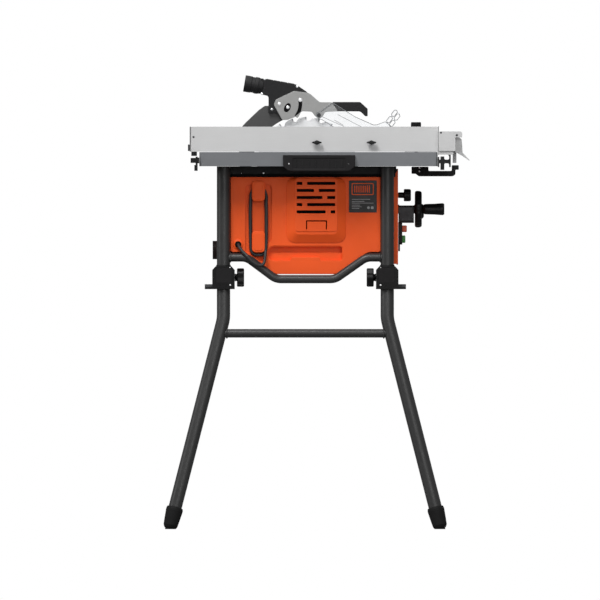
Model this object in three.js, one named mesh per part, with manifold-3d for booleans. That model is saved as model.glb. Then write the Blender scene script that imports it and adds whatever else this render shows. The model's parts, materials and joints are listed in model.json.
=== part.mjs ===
// A 10 inch jobsite table saw on a folding tube stand, in millimetres.
// +X points to the operator, +Y to the operator's right and +Z up. Heights are from the floor.
// While it is built, x = 0 is the raised blade's axis and y = 0 is the blade's plane.
import * as THREE from "three";
import { mergeVertices } from "three/addons/utils/BufferGeometryUtils.js";
import Module from "manifold-3d";

const wasm = await Module();
wasm.setup();

const GAP = 0.3; // left between pieces that touch

// Saw unit
const BLADE_RADIUS = 127;
const BLADE_HALF = 1.3;
const ARBOR_Z = 863;
const ARBOR_RADIUS = 7.8;
const MOTOR = { x: 24, z: 806, radius: 46, left: -185, right: -60 };
const POST_X = [-90, 85];
const POST_Y = -21;
const SCREW_X = 145;
const WHEEL_Z = 768;
const WHEEL_RADIUS = 43.5;
const LOCK = { y: -50, z: 801.6, radius: 15 };

// Table
const TABLE = { rear: -256, front: 316, left: -300, right: 260, top: 905, bottom: 871 };
const SKIN = 6;
const WING = { left: 262, right: 331 };
const WING_TUBE_X = [-236, 238];
const WING_TUBE_Z = 880;
const SLOT_Y = [-110, 110];
const SLOT_HALF = 9.6;
const SLOT_DEPTH = 9.5;

// Stand
const SIDE_Y = 218;
const TUBE = 16; // radius of the uprights and legs
const CRADLE = 10; // radius of the cradle tube
const UPRIGHT_X = [-198, 195];
const PIVOT_Z = 582;
const LEG_TILT = THREE.MathUtils.degToRad(9.5); // the leg frames lean outwards
const LEG_BEND_Z = 505;
const FLOOR_X = [-327.5, 323.5]; // where the leg axes meet the floor
const CROSSBAR_Z = 470;

// Cabinet
const COVER = { rear: -181, front: 179, top: 845, low: 665, bottom: 612, outer: 207 };
const PORT_Z = 670; // centre of the rear dust port

// ---- shapes -------------------------------------------------------------------------------

const v3 = (x, y, z) => new THREE.Vector3(x, y, z);

function block(x0, x1, y0, y1, z0, z1) {
  const g = new THREE.BoxGeometry(x1 - x0, y1 - y0, z1 - z0);
  return g.translate((x0 + x1) / 2, (y0 + y1) / 2, (z0 + z1) / 2);
}

function outline(points) {
  return new THREE.Shape(points.map(([a, b]) => new THREE.Vector2(a, b)));
}

function roundedOutline(a0, a1, b0, b1, r) {
  const s = new THREE.Shape();
  s.moveTo(a0 + r, b0).lineTo(a1 - r, b0).absarc(a1 - r, b0 + r, r, -Math.PI / 2, 0);
  s.lineTo(a1, b1 - r).absarc(a1 - r, b1 - r, r, 0, Math.PI / 2);
  s.lineTo(a0 + r, b1).absarc(a0 + r, b1 - r, r, Math.PI / 2, Math.PI);
  s.lineTo(a0, b0 + r).absarc(a0 + r, b0 + r, r, Math.PI, Math.PI * 1.5);
  return s;
}

const SETTINGS = { bevelEnabled: false, curveSegments: 2, steps: 1 };

// An outline in (x, z), carried from y0 to y1.
function prismY(shape, y0, y1) {
  const g = new THREE.ExtrudeGeometry(shape, { ...SETTINGS, depth: y1 - y0 });
  return g.rotateX(Math.PI / 2).translate(0, y1, 0);
}

// An outline in (y, z), carried from x0 to x1.
function prismX(shape, x0, x1) {
  const g = new THREE.ExtrudeGeometry(shape, { ...SETTINGS, depth: x1 - x0 });
  const turn = new THREE.Matrix4().makeBasis(v3(0, 1, 0), v3(0, 0, 1), v3(1, 0, 0));
  return g.applyMatrix4(turn).translate(x0, 0, 0);
}

// An outline in (x, y), carried from z0 to z1.
function prismZ(shape, z0, z1) {
  return new THREE.ExtrudeGeometry(shape, { ...SETTINGS, depth: z1 - z0 }).translate(0, 0, z0);
}

// A turned piece: profile of [distance along, radius] from the axis back to the axis.
function turned(profile, from, direction, sides = 14) {
  const points = profile.map(([along, radius]) => new THREE.Vector2(radius, along));
  const g = new THREE.LatheGeometry(points, sides);
  const q = new THREE.Quaternion().setFromUnitVectors(v3(0, 1, 0), direction.clone().normalize());
  return g.applyQuaternion(q).translate(from.x, from.y, from.z);
}

function rod(from, to, radius, sides = 12) {
  const length = from.distanceTo(to);
  const profile = [[0, 0], [0, radius], [length, radius], [length, 0]];
  return turned(profile, from, to.clone().sub(from), sides);
}

// A path with true arcs at its corners, sampled only where it turns.
class BentPath extends THREE.Curve {
  constructor(corners, bend, arcSteps = 4) {
    super();
    this.stations = [corners[0]];
    this.headings = [corners[1].clone().sub(corners[0]).normalize()];
    for (let i = 1; i < corners.length - 1; i++) {
      const into = corners[i].clone().sub(corners[i - 1]).normalize();
      const out = corners[i + 1].clone().sub(corners[i]).normalize();
      const turn = into.angleTo(out);
      const axis = into.clone().cross(out).normalize();
      const start = corners[i].clone().addScaledVector(into, -bend * Math.tan(turn / 2));
      const centre = start.clone().addScaledVector(axis.clone().cross(into), bend);
      for (let k = 0; k <= arcSteps; k++) {
        const angle = (turn * k) / arcSteps;
        const spoke = start.clone().sub(centre).applyAxisAngle(axis, angle);
        this.stations.push(spoke.add(centre));
        this.headings.push(into.clone().applyAxisAngle(axis, angle));
      }
    }
    const last = corners.length - 1;
    this.stations.push(corners[last]);
    this.headings.push(corners[last].clone().sub(corners[last - 1]).normalize());
  }
  getUtoTmapping(u) {
    return u;
  }
  between(list, t, target) {
    const place = t * (list.length - 1);
    const i = Math.min(Math.floor(place), list.length - 2);
    return target.lerpVectors(list[i], list[i + 1], place - i);
  }
  getPoint(t, target = new THREE.Vector3()) {
    return this.between(this.stations, t, target);
  }
  getTangent(t, target = new THREE.Vector3()) {
    return this.between(this.headings, t, target).normalize();
  }
}

function circle(radius, sides) {
  const at = (k) => new THREE.Vector2(
    radius * Math.cos((2 * Math.PI * k) / sides),
    radius * Math.sin((2 * Math.PI * k) / sides),
  );
  return new THREE.Shape(Array.from({ length: sides }, (_, k) => at(k)));
}

function pipe(corners, radius, bend, sides = 12) {
  const path = new BentPath(corners, bend);
  const steps = path.stations.length - 1;
  return new THREE.ExtrudeGeometry(circle(radius, sides), { steps, extrudePath: path });
}

// ---- joining and cutting ------------------------------------------------------------------

function solid(geometry) {
  const bare = geometry.clone();
  bare.deleteAttribute("normal");
  bare.deleteAttribute("uv");
  const merged = mergeVertices(bare, 1e-4);
  return new wasm.Manifold(new wasm.Mesh({
    numProp: 3,
    vertProperties: new Float32Array(merged.attributes.position.array),
    triVerts: new Uint32Array(merged.index.array),
  }));
}

function geometry(manifold) {
  const mesh = manifold.getMesh();
  const g = new THREE.BufferGeometry();
  g.setAttribute("position", new THREE.BufferAttribute(mesh.vertProperties, 3));
  g.setIndex(new THREE.BufferAttribute(mesh.triVerts, 1));
  const flat = g.toNonIndexed();
  flat.computeVertexNormals();
  return flat;
}

const join = (...pieces) => geometry(pieces.map(solid).reduce((a, b) => a.add(b)));
const cut = (base, ...tools) => geometry(tools.map(solid).reduce((a, b) => a.subtract(b), solid(base)));
const common = (a, b) => geometry(solid(a).intersect(solid(b)));

// ---- materials ----------------------------------------------------------------------------

function finish(color, roughness, metalness) {
  return () => new THREE.MeshStandardMaterial({ color, roughness, metalness });
}

const powderCoat = finish(0x323231, 0.45, 0.3);
const blackPlastic = finish(0x1b1b1d, 0.55, 0);
const orangePlastic = finish(0xd35a2a, 0.5, 0);
const castAluminium = finish(0x77797c, 0.45, 0.7);
const satinAluminium = finish(0xc9cbcc, 0.35, 0.6);
const greyPlastic = finish(0x8c8d8f, 0.5, 0.1);
const clearPlastic = finish(0xe6eaec, 0.15, 0);
const plainSteel = finish(0xa6a8aa, 0.3, 0.9);
const darkSteel = finish(0x46474a, 0.4, 0.8);
const rubber = finish(0x161616, 0.8, 0);
const redPlastic = finish(0xb8402c, 0.4, 0);
const greenPlastic = finish(0x3a8a3e, 0.4, 0);

const saw = new THREE.Group();

function add(name, shape, material, group = saw) {
  const mesh = new THREE.Mesh(shape, material());
  mesh.name = name;
  group.add(mesh);
  return mesh;
}

// ---- stand --------------------------------------------------------------------------------

// One folding leg frame, in its own plane: its pivot line is the group's X axis.
function legFrame(side, sign) {
  const group = new THREE.Group();
  group.position.set(0, sign * SIDE_Y, PIVOT_Z);
  group.rotation.x = sign * LEG_TILT;
  saw.add(group);
  group.updateMatrixWorld(true);
  const down = (z) => (z - PIVOT_Z) / Math.cos(LEG_TILT);
  const footTop = 46;
  const pieces = UPRIGHT_X.map((x, i) => {
    const along = (LEG_BEND_Z - TUBE) / LEG_BEND_Z;
    const end = v3(x + (FLOOR_X[i] - x) * along, 0, down(TUBE));
    return pipe([v3(x, 0, 0), v3(x, 0, down(LEG_BEND_Z)), end], TUBE, 90, 12);
  });
  const knuckles = UPRIGHT_X.map((x) => new THREE.SphereGeometry(TUBE, 12, 6).translate(x, 0, 0));
  const reach = (i) => {
    const share = (LEG_BEND_Z - CROSSBAR_Z) / LEG_BEND_Z;
    return UPRIGHT_X[i] + (FLOOR_X[i] - UPRIGHT_X[i]) * share;
  };
  const crossbar = rod(v3(reach(0), 0, down(CROSSBAR_Z)), v3(reach(1), 0, down(CROSSBAR_Z)), 10.3, 12);
  const bores = UPRIGHT_X.map((x) => rod(v3(x - 30, 0, 0), v3(x + 30, 0, 0), 6.4, 12));
  const frame = join(...pieces, ...knuckles, crossbar);
  const floor = block(-500, 500, -400, 400, -200, 0);
  floor.applyMatrix4(group.matrixWorld.clone().invert());
  add(side + "_leg_frame", cut(frame, ...bores), powderCoat, group);
  UPRIGHT_X.forEach((x, i) => {
    const low = v3(FLOOR_X[i], 0, down(0));
    const axis = v3(x, 0, down(LEG_BEND_Z)).sub(low).normalize();
    const cap = [
      [1, 0], [1, 11], [3.5, 15.2], [9, 17.8],
      [footTop, 20.8], [footTop + 8, 19.5], [footTop + 8, 0],
    ];
    const alongLeg = (distance) => low.clone().addScaledVector(axis, distance);
    const socket = rod(alongLeg(12), alongLeg(80), TUBE + 1, 12);
    const foot = cut(turned(cap, low, axis, 12), floor, socket);
    add((i ? "front_" : "rear_") + side + "_foot", foot, rubber, group);
  });
}

function sideFrame(side, sign) {
  const y = sign * SIDE_Y;
  const uprights = UPRIGHT_X.map((x) => rod(v3(x, y, 610), v3(x, y, TABLE.bottom - GAP), TUBE, 14));
  const bend = [[UPRIGHT_X[0], 652], [-142, 652], [-72, 600], [70, 600], [144, 652], [UPRIGHT_X[1], 652]];
  const cradle = pipe(bend.map(([x, z]) => v3(x, y, z)), CRADLE, 30, 10);
  add(side + "_side_frame", join(...uprights, cradle), powderCoat);
}

// A bracket clamps an upright's foot and straddles the leg's pivot.
function legBracket(name, x, sign) {
  const y = sign * SIDE_Y;
  const body = outline([
    [x - 27, 576], [x + 27, 576], [x + 27, 622], [x + 19, 631], [x - 19, 631], [x - 27, 622],
  ]);
  const shell = prismY(body, y - 24, y + 24);
  const upright = rod(v3(x, y, 610 - GAP), v3(x, y, 640), TUBE + GAP, 14);
  const inner = Math.min(sign * -30, sign * 19.5);
  const outer = Math.max(sign * -30, sign * 19.5);
  const throat = block(x - 16.6, x + 16.6, y + inner, y + outer, 570, 599);
  const pin = rod(v3(x - 40, y, PIVOT_Z), v3(x + 40, y, PIVOT_Z), 6.3, 12);
  const inward = -Math.sign(x);
  const stud = rod(v3(x + inward * 12, y, 604), v3(x + inward * 40, y, 604), 3.4, 12);
  add(name + "_leg_bracket", cut(shell, upright, throat, pin, stud), blackPlastic);
  const pinFrom = v3(x + inward * 26.5, y, PIVOT_Z);
  const pinTo = v3(x - inward * 45, y, PIVOT_Z);
  add(name + "_pivot_pin", rod(pinFrom, pinTo, 6, 12), darkSteel);
  const face = v3(x + inward * (27 + GAP), y, 604);
  add(name + "_leg_lock_knob", lockKnob(face, v3(inward, 0, 0)), blackPlastic);
}

// A five-lobed knob with its stem and stud; the stem starts at from and points along direction.
function lockKnob(from, direction) {
  const lobes = new THREE.Shape();
  const count = 25;
  for (let k = 0; k < count; k++) {
    const a = (2 * Math.PI * k) / count;
    const r = 20.8 + 2.2 * Math.cos(5 * a);
    const p = [r * Math.cos(a), r * Math.sin(a)];
    if (k) lobes.lineTo(...p);
    else lobes.moveTo(...p);
  }
  const head = prismX(lobes, 4.7, 22.2);
  if (direction.x < 0) head.rotateZ(Math.PI);
  head.translate(from.x, from.y, from.z);
  const stem = turned([[-14, 0], [-14, 3], [0, 3], [0, 10], [6, 10], [6, 0]], from, direction, 14);
  return join(head, stem);
}

// ---- cabinet ------------------------------------------------------------------------------

function upperChassis() {
  const outer = prismZ(roundedOutline(-214, 216.7, -200, 200, 6), COVER.top + GAP, TABLE.bottom - GAP);
  const inner = prismZ(roundedOutline(-200, 202, -188, 188, 6), 840, 880);
  add("upper_chassis", cut(outer, inner), blackPlastic);
}

const coverOutline = (inset, top) => outline([
  [COVER.rear + inset, COVER.low + inset],
  [-146, COVER.low + inset],
  [-75, COVER.bottom + inset],
  [73, COVER.bottom + inset],
  [148, COVER.low + inset],
  [COVER.front - inset, COVER.low + inset],
  [COVER.front - inset, top],
  [COVER.rear + inset, top],
]);

// The vent slots, as [first x, last x] stretches in five rows.
const VENT_ROWS = [
  [830, [[-22, -9], [3, 70]]],
  [813, [[-22, 19], [31, 70]]],
  [796, [[-22, 39], [51, 70]]],
  [779, [[-22, -9], [3, 70]]],
  [761.5, [[-22, 47], [59.5, 70]]],
];
const VENT_HEIGHT = 7;

const ventSlot = (x0, x1, z, y0, y1) => (
  prismY(roundedOutline(x0, x1, z - VENT_HEIGHT / 2, z + VENT_HEIGHT / 2, 3), y0, y1)
);

// A tray that closes one side of the cabinet: its face, and a rim turned inwards.
function coverTray(sign) {
  const outer = sign * COVER.outer;
  const face = outer - sign * 3;
  const rim = outer - sign * 22;
  const span = (a, b) => [Math.min(a, b), Math.max(a, b)];
  return cut(
    prismY(coverOutline(0, COVER.top), ...span(outer, rim)),
    prismY(coverOutline(3, COVER.top - 3), ...span(face, rim - sign * 5)),
  );
}

function rightCover() {
  const louvres = VENT_ROWS.map(([z]) => ventSlot(-70, 90, z, 200, 240));
  add("right_cover", cut(coverTray(1), ...louvres), orangePlastic);
}

// The left cover carries the motor bulge, the vents, the cord wrap and a storage recess.
function leftCover() {
  const outer = -COVER.outer;
  const face = outer + 3;
  const bulge = prismY(roundedOutline(-47, 95, 690, 844.5, 22), outer - 14, face);
  const hollow = prismY(roundedOutline(-44, 92, 693, 841.5, 19), outer - 11, outer + 10);
  const vents = VENT_ROWS.flatMap(([z, stretches]) => (
    stretches.map(([x0, x1]) => ventSlot(x0, x1, z, outer - 30, outer))
  ));
  const well = block(-148, -80, outer - 5, outer + 11, 640, 830);
  const wellFloor = block(-151, -77, outer + 11, outer + 13.5, 640, 833);
  const wellWalls = cut(
    block(-151, -77, face - 1, outer + 13.5, 628, 833),
    block(-148, -80, outer - 5, outer + 11, 600, 830),
  );
  const insideCover = prismY(coverOutline(0.5, COVER.top - 0.5), outer, outer + 22);
  const posts = [[787, 828], [664, 716]].map(([z0, z1]) => (
    prismY(roundedOutline(-129, -100, z0, z1, 9), outer - 9, outer + 12)
  ));
  const store = prismY(roundedOutline(-91, 88, 644, 679, 3), outer - 1, face - 1.4);
  const open = cut(join(coverTray(-1), bulge), hollow, well, store);
  const reliefProfile = [[0, 0], [0, 7], [9, 7], [12, 5], [12, 0]];
  const relief = turned(reliefProfile, v3(-163, face - 1, 684), v3(0, -1, 0), 12);
  const made = join(open, common(wellWalls, insideCover), wellFloor, ...posts, relief);
  add("left_cover", cut(made, ...vents), orangePlastic);
}

// A slot about the tilt axis, seen from the front: radius r, half width w, angles from straight down.
function arcSlot(r, w, from, to, x0, x1) {
  const s = new THREE.Shape();
  const steps = 8;
  const angle = (k) => THREE.MathUtils.degToRad(from + ((to - from) * k) / steps);
  const at = (radius, a) => [radius * Math.sin(a), TABLE.top - radius * Math.cos(a)];
  s.moveTo(...at(r + w, angle(0)));
  for (let k = 1; k <= steps; k++) s.lineTo(...at(r + w, angle(k)));
  for (let k = steps; k >= 0; k--) s.lineTo(...at(r - w, angle(k)));
  return prismX(s, x0, x1);
}

const PANEL = { half: 198, bottom: 635, top: 865 };

// A flange along one upright edge of an end panel, from x0 to x1.
function panelFlange(sign, x0, x1) {
  const edges = [sign * PANEL.half, sign * (PANEL.half - 4)];
  return block(x0, x1, Math.min(...edges), Math.max(...edges), PANEL.bottom + 5, COVER.top);
}

function frontPanel() {
  const { half, bottom, top } = PANEL;
  const sheet = prismX(roundedOutline(-half, half, bottom, top, 5), 217, 221);
  const flanges = [-1, 1].map((sign) => panelFlange(sign, 186, 218));
  const lockReach = Math.hypot(LOCK.y, TABLE.top - LOCK.z);
  const lockStart = THREE.MathUtils.radToDeg(Math.atan2(LOCK.y, TABLE.top - LOCK.z));
  const wheelSlot = arcSlot(TABLE.top - WHEEL_Z, 12.5, -6, 51, 200, 230);
  const lockSlot = arcSlot(lockReach, 5, lockStart - 3, lockStart + 48, 200, 230);
  add("front_panel", cut(join(sheet, ...flanges), wheelSlot, lockSlot), orangePlastic);
}

function rearPanel() {
  const { half, bottom } = PANEL;
  const sheet = prismX(roundedOutline(-half, half, bottom, COVER.top, 5), -211.5, -208);
  const flanges = [-1, 1].map((sign) => panelFlange(sign, -209, -186));
  const port = rod(v3(-224, 0, PORT_Z), v3(-210, 0, PORT_Z), 21.8, 14);
  const bore = rod(v3(-240, 0, PORT_Z), v3(-200, 0, PORT_Z), 18.5, 14);
  add("rear_panel", cut(join(sheet, port, ...flanges), bore), orangePlastic);
}

function powerCord() {
  const y = -COVER.outer + 7;
  const out = -COVER.outer - 13.5;
  const path = [
    [-163, out, 684], [-161, -232, 672], [-148, -235, 656], [-128, -236, 641], [-104, -235, 630],
    [-97, -224, 640], [-95, y, 662], [-95, y, 800],
  ];
  const cord = pipe(path.map((p) => v3(...p)), 3.4, 8, 6);
  add("power_cord", cord, rubber);
}

// ---- table --------------------------------------------------------------------------------

function tableTop() {
  const { rear, front, left, right, top, bottom } = TABLE;
  const shell = cut(
    prismZ(roundedOutline(rear, front, left, right, 5), bottom, top),
    block(rear + 5, front - 5, left + 5, right - 5, bottom - 10, top - SKIN),
  );
  const housings = SLOT_Y.map((y) => block(rear + 4, front - 4, y - 14, y + 14, 889.5, top - SKIN + 1));
  const ribs = [-120, 30, 150].flatMap((x) => [
    block(x - 2, x + 2, left + 4, -70, 882, top - SKIN + 1),
    block(x - 2, x + 2, 70, right - 4, 882, top - SKIN + 1),
  ]);
  const bosses = UPRIGHT_X.flatMap((x) => [-1, 1].map((s) => (
    rod(v3(x, s * SIDE_Y, bottom + GAP), v3(x, s * SIDE_Y, top - SKIN + 1), 20, 14)
  )));
  const slots = SLOT_Y.map((y) => (
    block(rear - 10, front + 10, y - SLOT_HALF, y + SLOT_HALF, top - SLOT_DEPTH, top + 5)
  ));
  const pocket = prismZ(roundedOutline(-190, 165, -50, 62, 18), top - 3.3, top + 5);
  const throat = prismZ(roundedOutline(-182, 157, -42, 54, 14), bottom - 20, top + 5);
  const tubeHoles = WING_TUBE_X.map((x) => (
    rod(v3(x, right - 12, WING_TUBE_Z), v3(x, right + 10, WING_TUBE_Z), 8.6, 12)
  ));
  const body = join(shell, ...housings, ...ribs, ...bosses);
  add("table_top", cut(body, ...slots, pocket, throat, ...tubeHoles), castAluminium);

  const plate = prismZ(roundedOutline(-189.5, 164.5, -49.5, 61.5, 17.5), top - 3, top - 0.1);
  const kerf = prismZ(roundedOutline(-172, 133, -4, 8, 3), top - 10, top + 10);
  const finger = rod(v3(150, 6, top - 10), v3(150, 6, top + 10), 7, 12);
  add("throat_plate", cut(plate, kerf, finger), plainSteel);
}

function rails() {
  const front = outline([
    [316.3, 870], [320, 870], [320, 876], [322, 876], [322, 862], [333, 862], [333, 876], [342, 876],
    [342, 869], [347.5, 869], [347.5, 898.7], [342, 898.7], [342, 887], [333, 887], [333, 894],
    [322, 894], [322, 887], [320, 887], [320, 893], [316.3, 893],
  ]);
  add("front_rail", prismY(front, -310, 330), blackPlastic);
  const rear = outline([
    [-256.3, 878], [-256.3, 892], [-260, 892], [-260, 894], [-265, 894], [-265, 891], [-277, 891],
    [-277, 879], [-265, 879], [-265, 874], [-268, 874], [-268, 860], [-260, 860], [-260, 878],
  ]);
  add("rear_rail", prismY(rear, -310, 330), blackPlastic);
}

function tableHandle() {
  const y = TABLE.left - GAP;
  const body = outline([
    [-55, 898], [-55, 868], [-47, 859], [110, 859], [118, 868], [118, 898],
  ]);
  const grooves = Array.from({ length: 7 }, (_, i) => -22 + i * 15.7).map((x) => (
    block(x, x + 11.7, y - 20, y - 12, 868, 888)
  ));
  add("left_table_handle", cut(prismY(body, y - 14, y), ...grooves), blackPlastic);
}

function extensionWing() {
  const { rear, front, top, bottom } = TABLE;
  const shell = cut(
    prismZ(roundedOutline(rear, front, WING.left, WING.right, 4), bottom, top),
    block(rear + 5, front - 5, WING.left + 5, WING.right - 5, bottom - 10, top - SKIN),
  );
  const tubes = WING_TUBE_X.map((x) => (
    rod(v3(x, 20, WING_TUBE_Z), v3(x, WING.right - 3, WING_TUBE_Z), 8, 12)
  ));
  add("extension_wing", join(shell, ...tubes), castAluminium);
}

function extensionLever() {
  const side = outline([
    [253, 853], [262, 853], [272, 846.8], [346, 846.8], [354, 849], [358.7, 856], [358.7, 862.7],
    [366.6, 862.7], [366.6, 873.7], [349.7, 873.7], [349.7, 859.8], [294, 859.8], [294, 870], [253, 870],
  ]);
  add("extension_lock_lever", prismY(side, 178, 192), blackPlastic);
}

// ---- rip fence ----------------------------------------------------------------------------

const FENCE = { left: -262, right: -212, rear: -278, front: 318, bottom: 906, top: 966 };
const WING_KNOB_X = [26, 157];

function fence() {
  const { left, right, rear, front, bottom, top } = FENCE;
  const hollow = block(rear + 4, front - 8, left + 14, right - 4, bottom + 4, top - 4);
  const bar = cut(block(rear, front - 5, left, right, bottom, top), hollow);
  const plates = [
    block(front - 5.5, front, left, right, 905.6, top),
    block(rear - 1, rear + 3, left, right, bottom, top),
  ];
  const rearClamp = join(
    block(-275, -262, left + 15, right - 15, 896, bottom + 2),
    block(-283, -276, left + 18, right - 18, 908, 923),
  );
  const studs = WING_KNOB_X.map((x) => rod(v3(x, left - 1, 928), v3(x, left + 20, 928), 2.6, 10));
  add("fence_body", cut(join(bar, ...plates, rearClamp), ...studs), satinAluminium);

  const headSide = new THREE.Shape();
  headSide.moveTo(320, 955).lineTo(320, 899).lineTo(354, 899).lineTo(354, 907).lineTo(375, 907);
  headSide.lineTo(375, 943).absarc(363, 943, 12, 0, Math.PI / 2).lineTo(320, 955);
  const head = prismY(headSide, -285, -189);
  const jaw = block(352, 361, -217, -197, 879, 910);
  const recess = block(356.5, 380, -254, -220, 890, 948.5);
  const window = block(357.5, 380, -290, -184, 890, 939);
  const neck = block(318 + GAP, 330, left + 3, right - 3, 910, 952);
  const pinHole = rod(v3(362, -290, 943), v3(362, -180, 943), 2.6, 10);
  add("fence_head", cut(join(head, neck, jaw), recess, window, pinHole), satinAluminium);

  const leverSide = outline([
    [358, 941.6], [368, 941.6], [374.2, 936], [375.6, 903], [392.6, 886.2], [391.2, 884.2],
    [374, 897], [363, 903.5], [358, 904.5],
  ]);
  const eye = rod(v3(362, -252, 943), v3(362, -222, 943), 4.2, 12);
  add("fence_lever", join(prismY(leverSide, -252, -222), eye), greyPlastic);

  WING_KNOB_X.forEach((x, i) => {
    const wings = outline([
      [x - 11.5, 924], [x - 4, 926], [x + 4, 926], [x + 11.5, 924],
      [x + 11.5, 932], [x + 4, 930], [x - 4, 930], [x - 11.5, 932],
    ]);
    const hub = rod(v3(x, left - 16, 928), v3(x, left - GAP, 928), 4.6, 12);
    const stud = rod(v3(x, left - 1, 928), v3(x, left + 12, 928), 2.3, 10);
    const knob = join(prismY(wings, left - 16, left - 6), hub, stud);
    add((i ? "front" : "rear") + "_wing_knob", knob, blackPlastic);
  });
}

// ---- mitre gauge --------------------------------------------------------------------------

function miterGauge() {
  const [, y] = SLOT_Y;
  const bar = block(-20, 300, y - 9.2, y + 9.2, TABLE.top - SLOT_DEPTH + GAP, TABLE.top - 0.4);
  const seat = rod(v3(264, y, 890), v3(264, y, 920), 4.2, 12);
  add("miter_bar", cut(bar, seat), plainSteel);
  const fan = new THREE.Shape();
  fan.moveTo(250, y - 62).absarc(250, y, 62, -Math.PI / 2, Math.PI / 2).lineTo(240, y + 62);
  fan.lineTo(240, y - 62);
  const plate = prismZ(fan, TABLE.top + 0.4, TABLE.top + 8);
  const face = block(237, 245, y - 68, y + 68, TABLE.top + 0.4, 950);
  const post = rod(v3(264, y, TABLE.top + 5), v3(264, y, 952), 9, 14);
  const hole = rod(v3(264, y, 890), v3(264, y, 970), 4.2, 12);
  add("miter_head", cut(join(plate, face, post), hole, arcWindow(y)), blackPlastic);
  const knob = [
    [-55, 0], [-55, 3.9], [0.3, 3.9], [0.3, 8], [4, 11], [6, 12], [20, 12], [24.7, 9.5], [24.7, 0],
  ];
  add("miter_knob", turned(knob, v3(264, y, 952.3), v3(0, 0, 1), 14), blackPlastic);
}

function arcWindow(y) {
  const s = new THREE.Shape();
  const from = -Math.PI / 3;
  const to = Math.PI / 3;
  s.absarc(250, y, 52, from, to);
  s.absarc(250, y, 44, to, from, true);
  return prismZ(s, 890, 925);
}

// ---- guard --------------------------------------------------------------------------------

function ringPoint(radius, degrees) {
  const a = THREE.MathUtils.degToRad(degrees);
  return [radius * Math.cos(a), ARBOR_Z + radius * Math.sin(a)];
}

function rivingKnife() {
  const inner = Array.from({ length: 12 }, (_, i) => ringPoint(131, 212 - (i * 98) / 11));
  const shape = outline([
    ...inner, [-55, 1012], [-80, 1018], [-101, 1015], [-113, 1006], [-131, 991], [-147, 977],
    [-151, 966], [-158, 935], [-161, 880], [-150, 812], [-142, 794],
  ].reverse());
  const bolts = [818, 838].map((z) => rod(v3(-137, -5, z), v3(-137, 5, z), 3.2, 10));
  add("riving_knife", cut(prismY(shape, -1.1, 1.1), ...bolts), darkSteel);
}

function dustHood() {
  const body = outline([
    [-90, 999], [-65, 999], [-40, 1020], [3, 1030], [3, 1050], [-24, 1067], [-104, 1082], [-108, 1044],
    [-98, 1038],
  ]);
  const inside = outline([
    [-86, 990], [-68, 990], [-43, 1024], [-1, 1034], [-1, 1047], [-26, 1063], [-101, 1077], [-104, 1048],
    [-92, 1038],
  ]);
  const axis = v3(-148, 0, 1070).sub(v3(-107.5, 0, 1063)).normalize();
  const from = v3(-107.5, 0, 1063).addScaledVector(axis, -4);
  const portProfile = [
    [0, 0], [0, 17], [6, 17], [6, 20.25], [14, 20.25],
    [14, 18.6], [28, 18.6], [28, 20.25], [45, 20.25], [45, 0],
  ];
  const port = turned(portProfile, from, axis, 14);
  const bore = turned([[-8, 0], [-8, 12], [4, 12], [8, 15.6], [60, 15.6], [60, 0]], from, axis, 14);
  const slit = block(-112, -50, -2, 2, 985, 1036);
  const hood = cut(join(prismY(body, -13.5, 13.5), port), prismY(inside, -10.5, 10.5), bore, slit);
  add("dust_hood", hood, blackPlastic);
}

const GUARD_PIVOT = [-64, 1021];
const SHEET_PIVOT = [31, 994];

function guardArm() {
  const plate = new THREE.Shape();
  plate.moveTo(-76, 1020).lineTo(-73, 1029).lineTo(-28, 1051).lineTo(-18, 1052).lineTo(5.5, 1046);
  plate.lineTo(32, 1026).lineTo(58, 1025).lineTo(77, 1003).lineTo(43, 1001);
  plate.absarc(31, 994, 10, Math.PI * 0.2, -Math.PI * 0.9, true);
  plate.lineTo(-11, 1001).lineTo(-26, 989).lineTo(-44, 983).lineTo(-56, 982);
  const slot = new THREE.Shape();
  const [px, pz] = GUARD_PIVOT;
  const from = Math.atan2(10, 49.5);
  const to = Math.atan2(-31, 40);
  slot.absarc(px, pz, 53, from, to, true);
  slot.absarc(px, pz, 48, to, from, false);
  const sides = [-18, 15].map((y) => prismY(plate, y, y + 3));
  const bridge = block(11, 20, -18, 18, 1022, 1034);
  const slots = prismY(slot, -30, 30);
  const oval = prismY(roundedOutline(-49, -41, 1004, 1018, 3.9), -30, 30);
  const [sx, sz] = SHEET_PIVOT;
  const pinHole = rod(v3(sx, -30, sz), v3(sx, 30, sz), 3, 12);
  add("guard_arm", cut(join(...sides, bridge), slots, oval, pinHole), greyPlastic);

  const grip = outline([
    [62, 1025.4], [130, 1025.4], [148, 1009], [148, 991],
    [142, 991], [132, 1003], [84, 1003], [64, 1025],
  ]);
  const handle = prismY(grip, -17.5, 17.5);
  const tongue = block(50, 82, -14.7, 14.7, 1004, 1020);
  const plates = [-18, 14.7].map((y) => block(50, 78, y, y + 3.3, 980, 1025.1));
  add("guard_handle", cut(join(handle, tongue), ...plates), blackPlastic);
}

function clearGuard(name, y) {
  const sheet = outline([
    [24, 1000], [26, 988], [40, 982], [126, 928], [172, 928], [202, 962], [231, 1000], [222, 1008],
    [190, 977], [170, 970], [162, 970], [117, 990], [63, 1022], [36, 1004],
  ]);
  const [sx, sz] = SHEET_PIVOT;
  const hole = rod(v3(sx, -30, sz), v3(sx, 30, sz), 3, 12);
  add(name, cut(prismY(sheet, y - 1, y + 1), hole), clearPlastic);
}

// ---- saw unit -----------------------------------------------------------------------------

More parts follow.
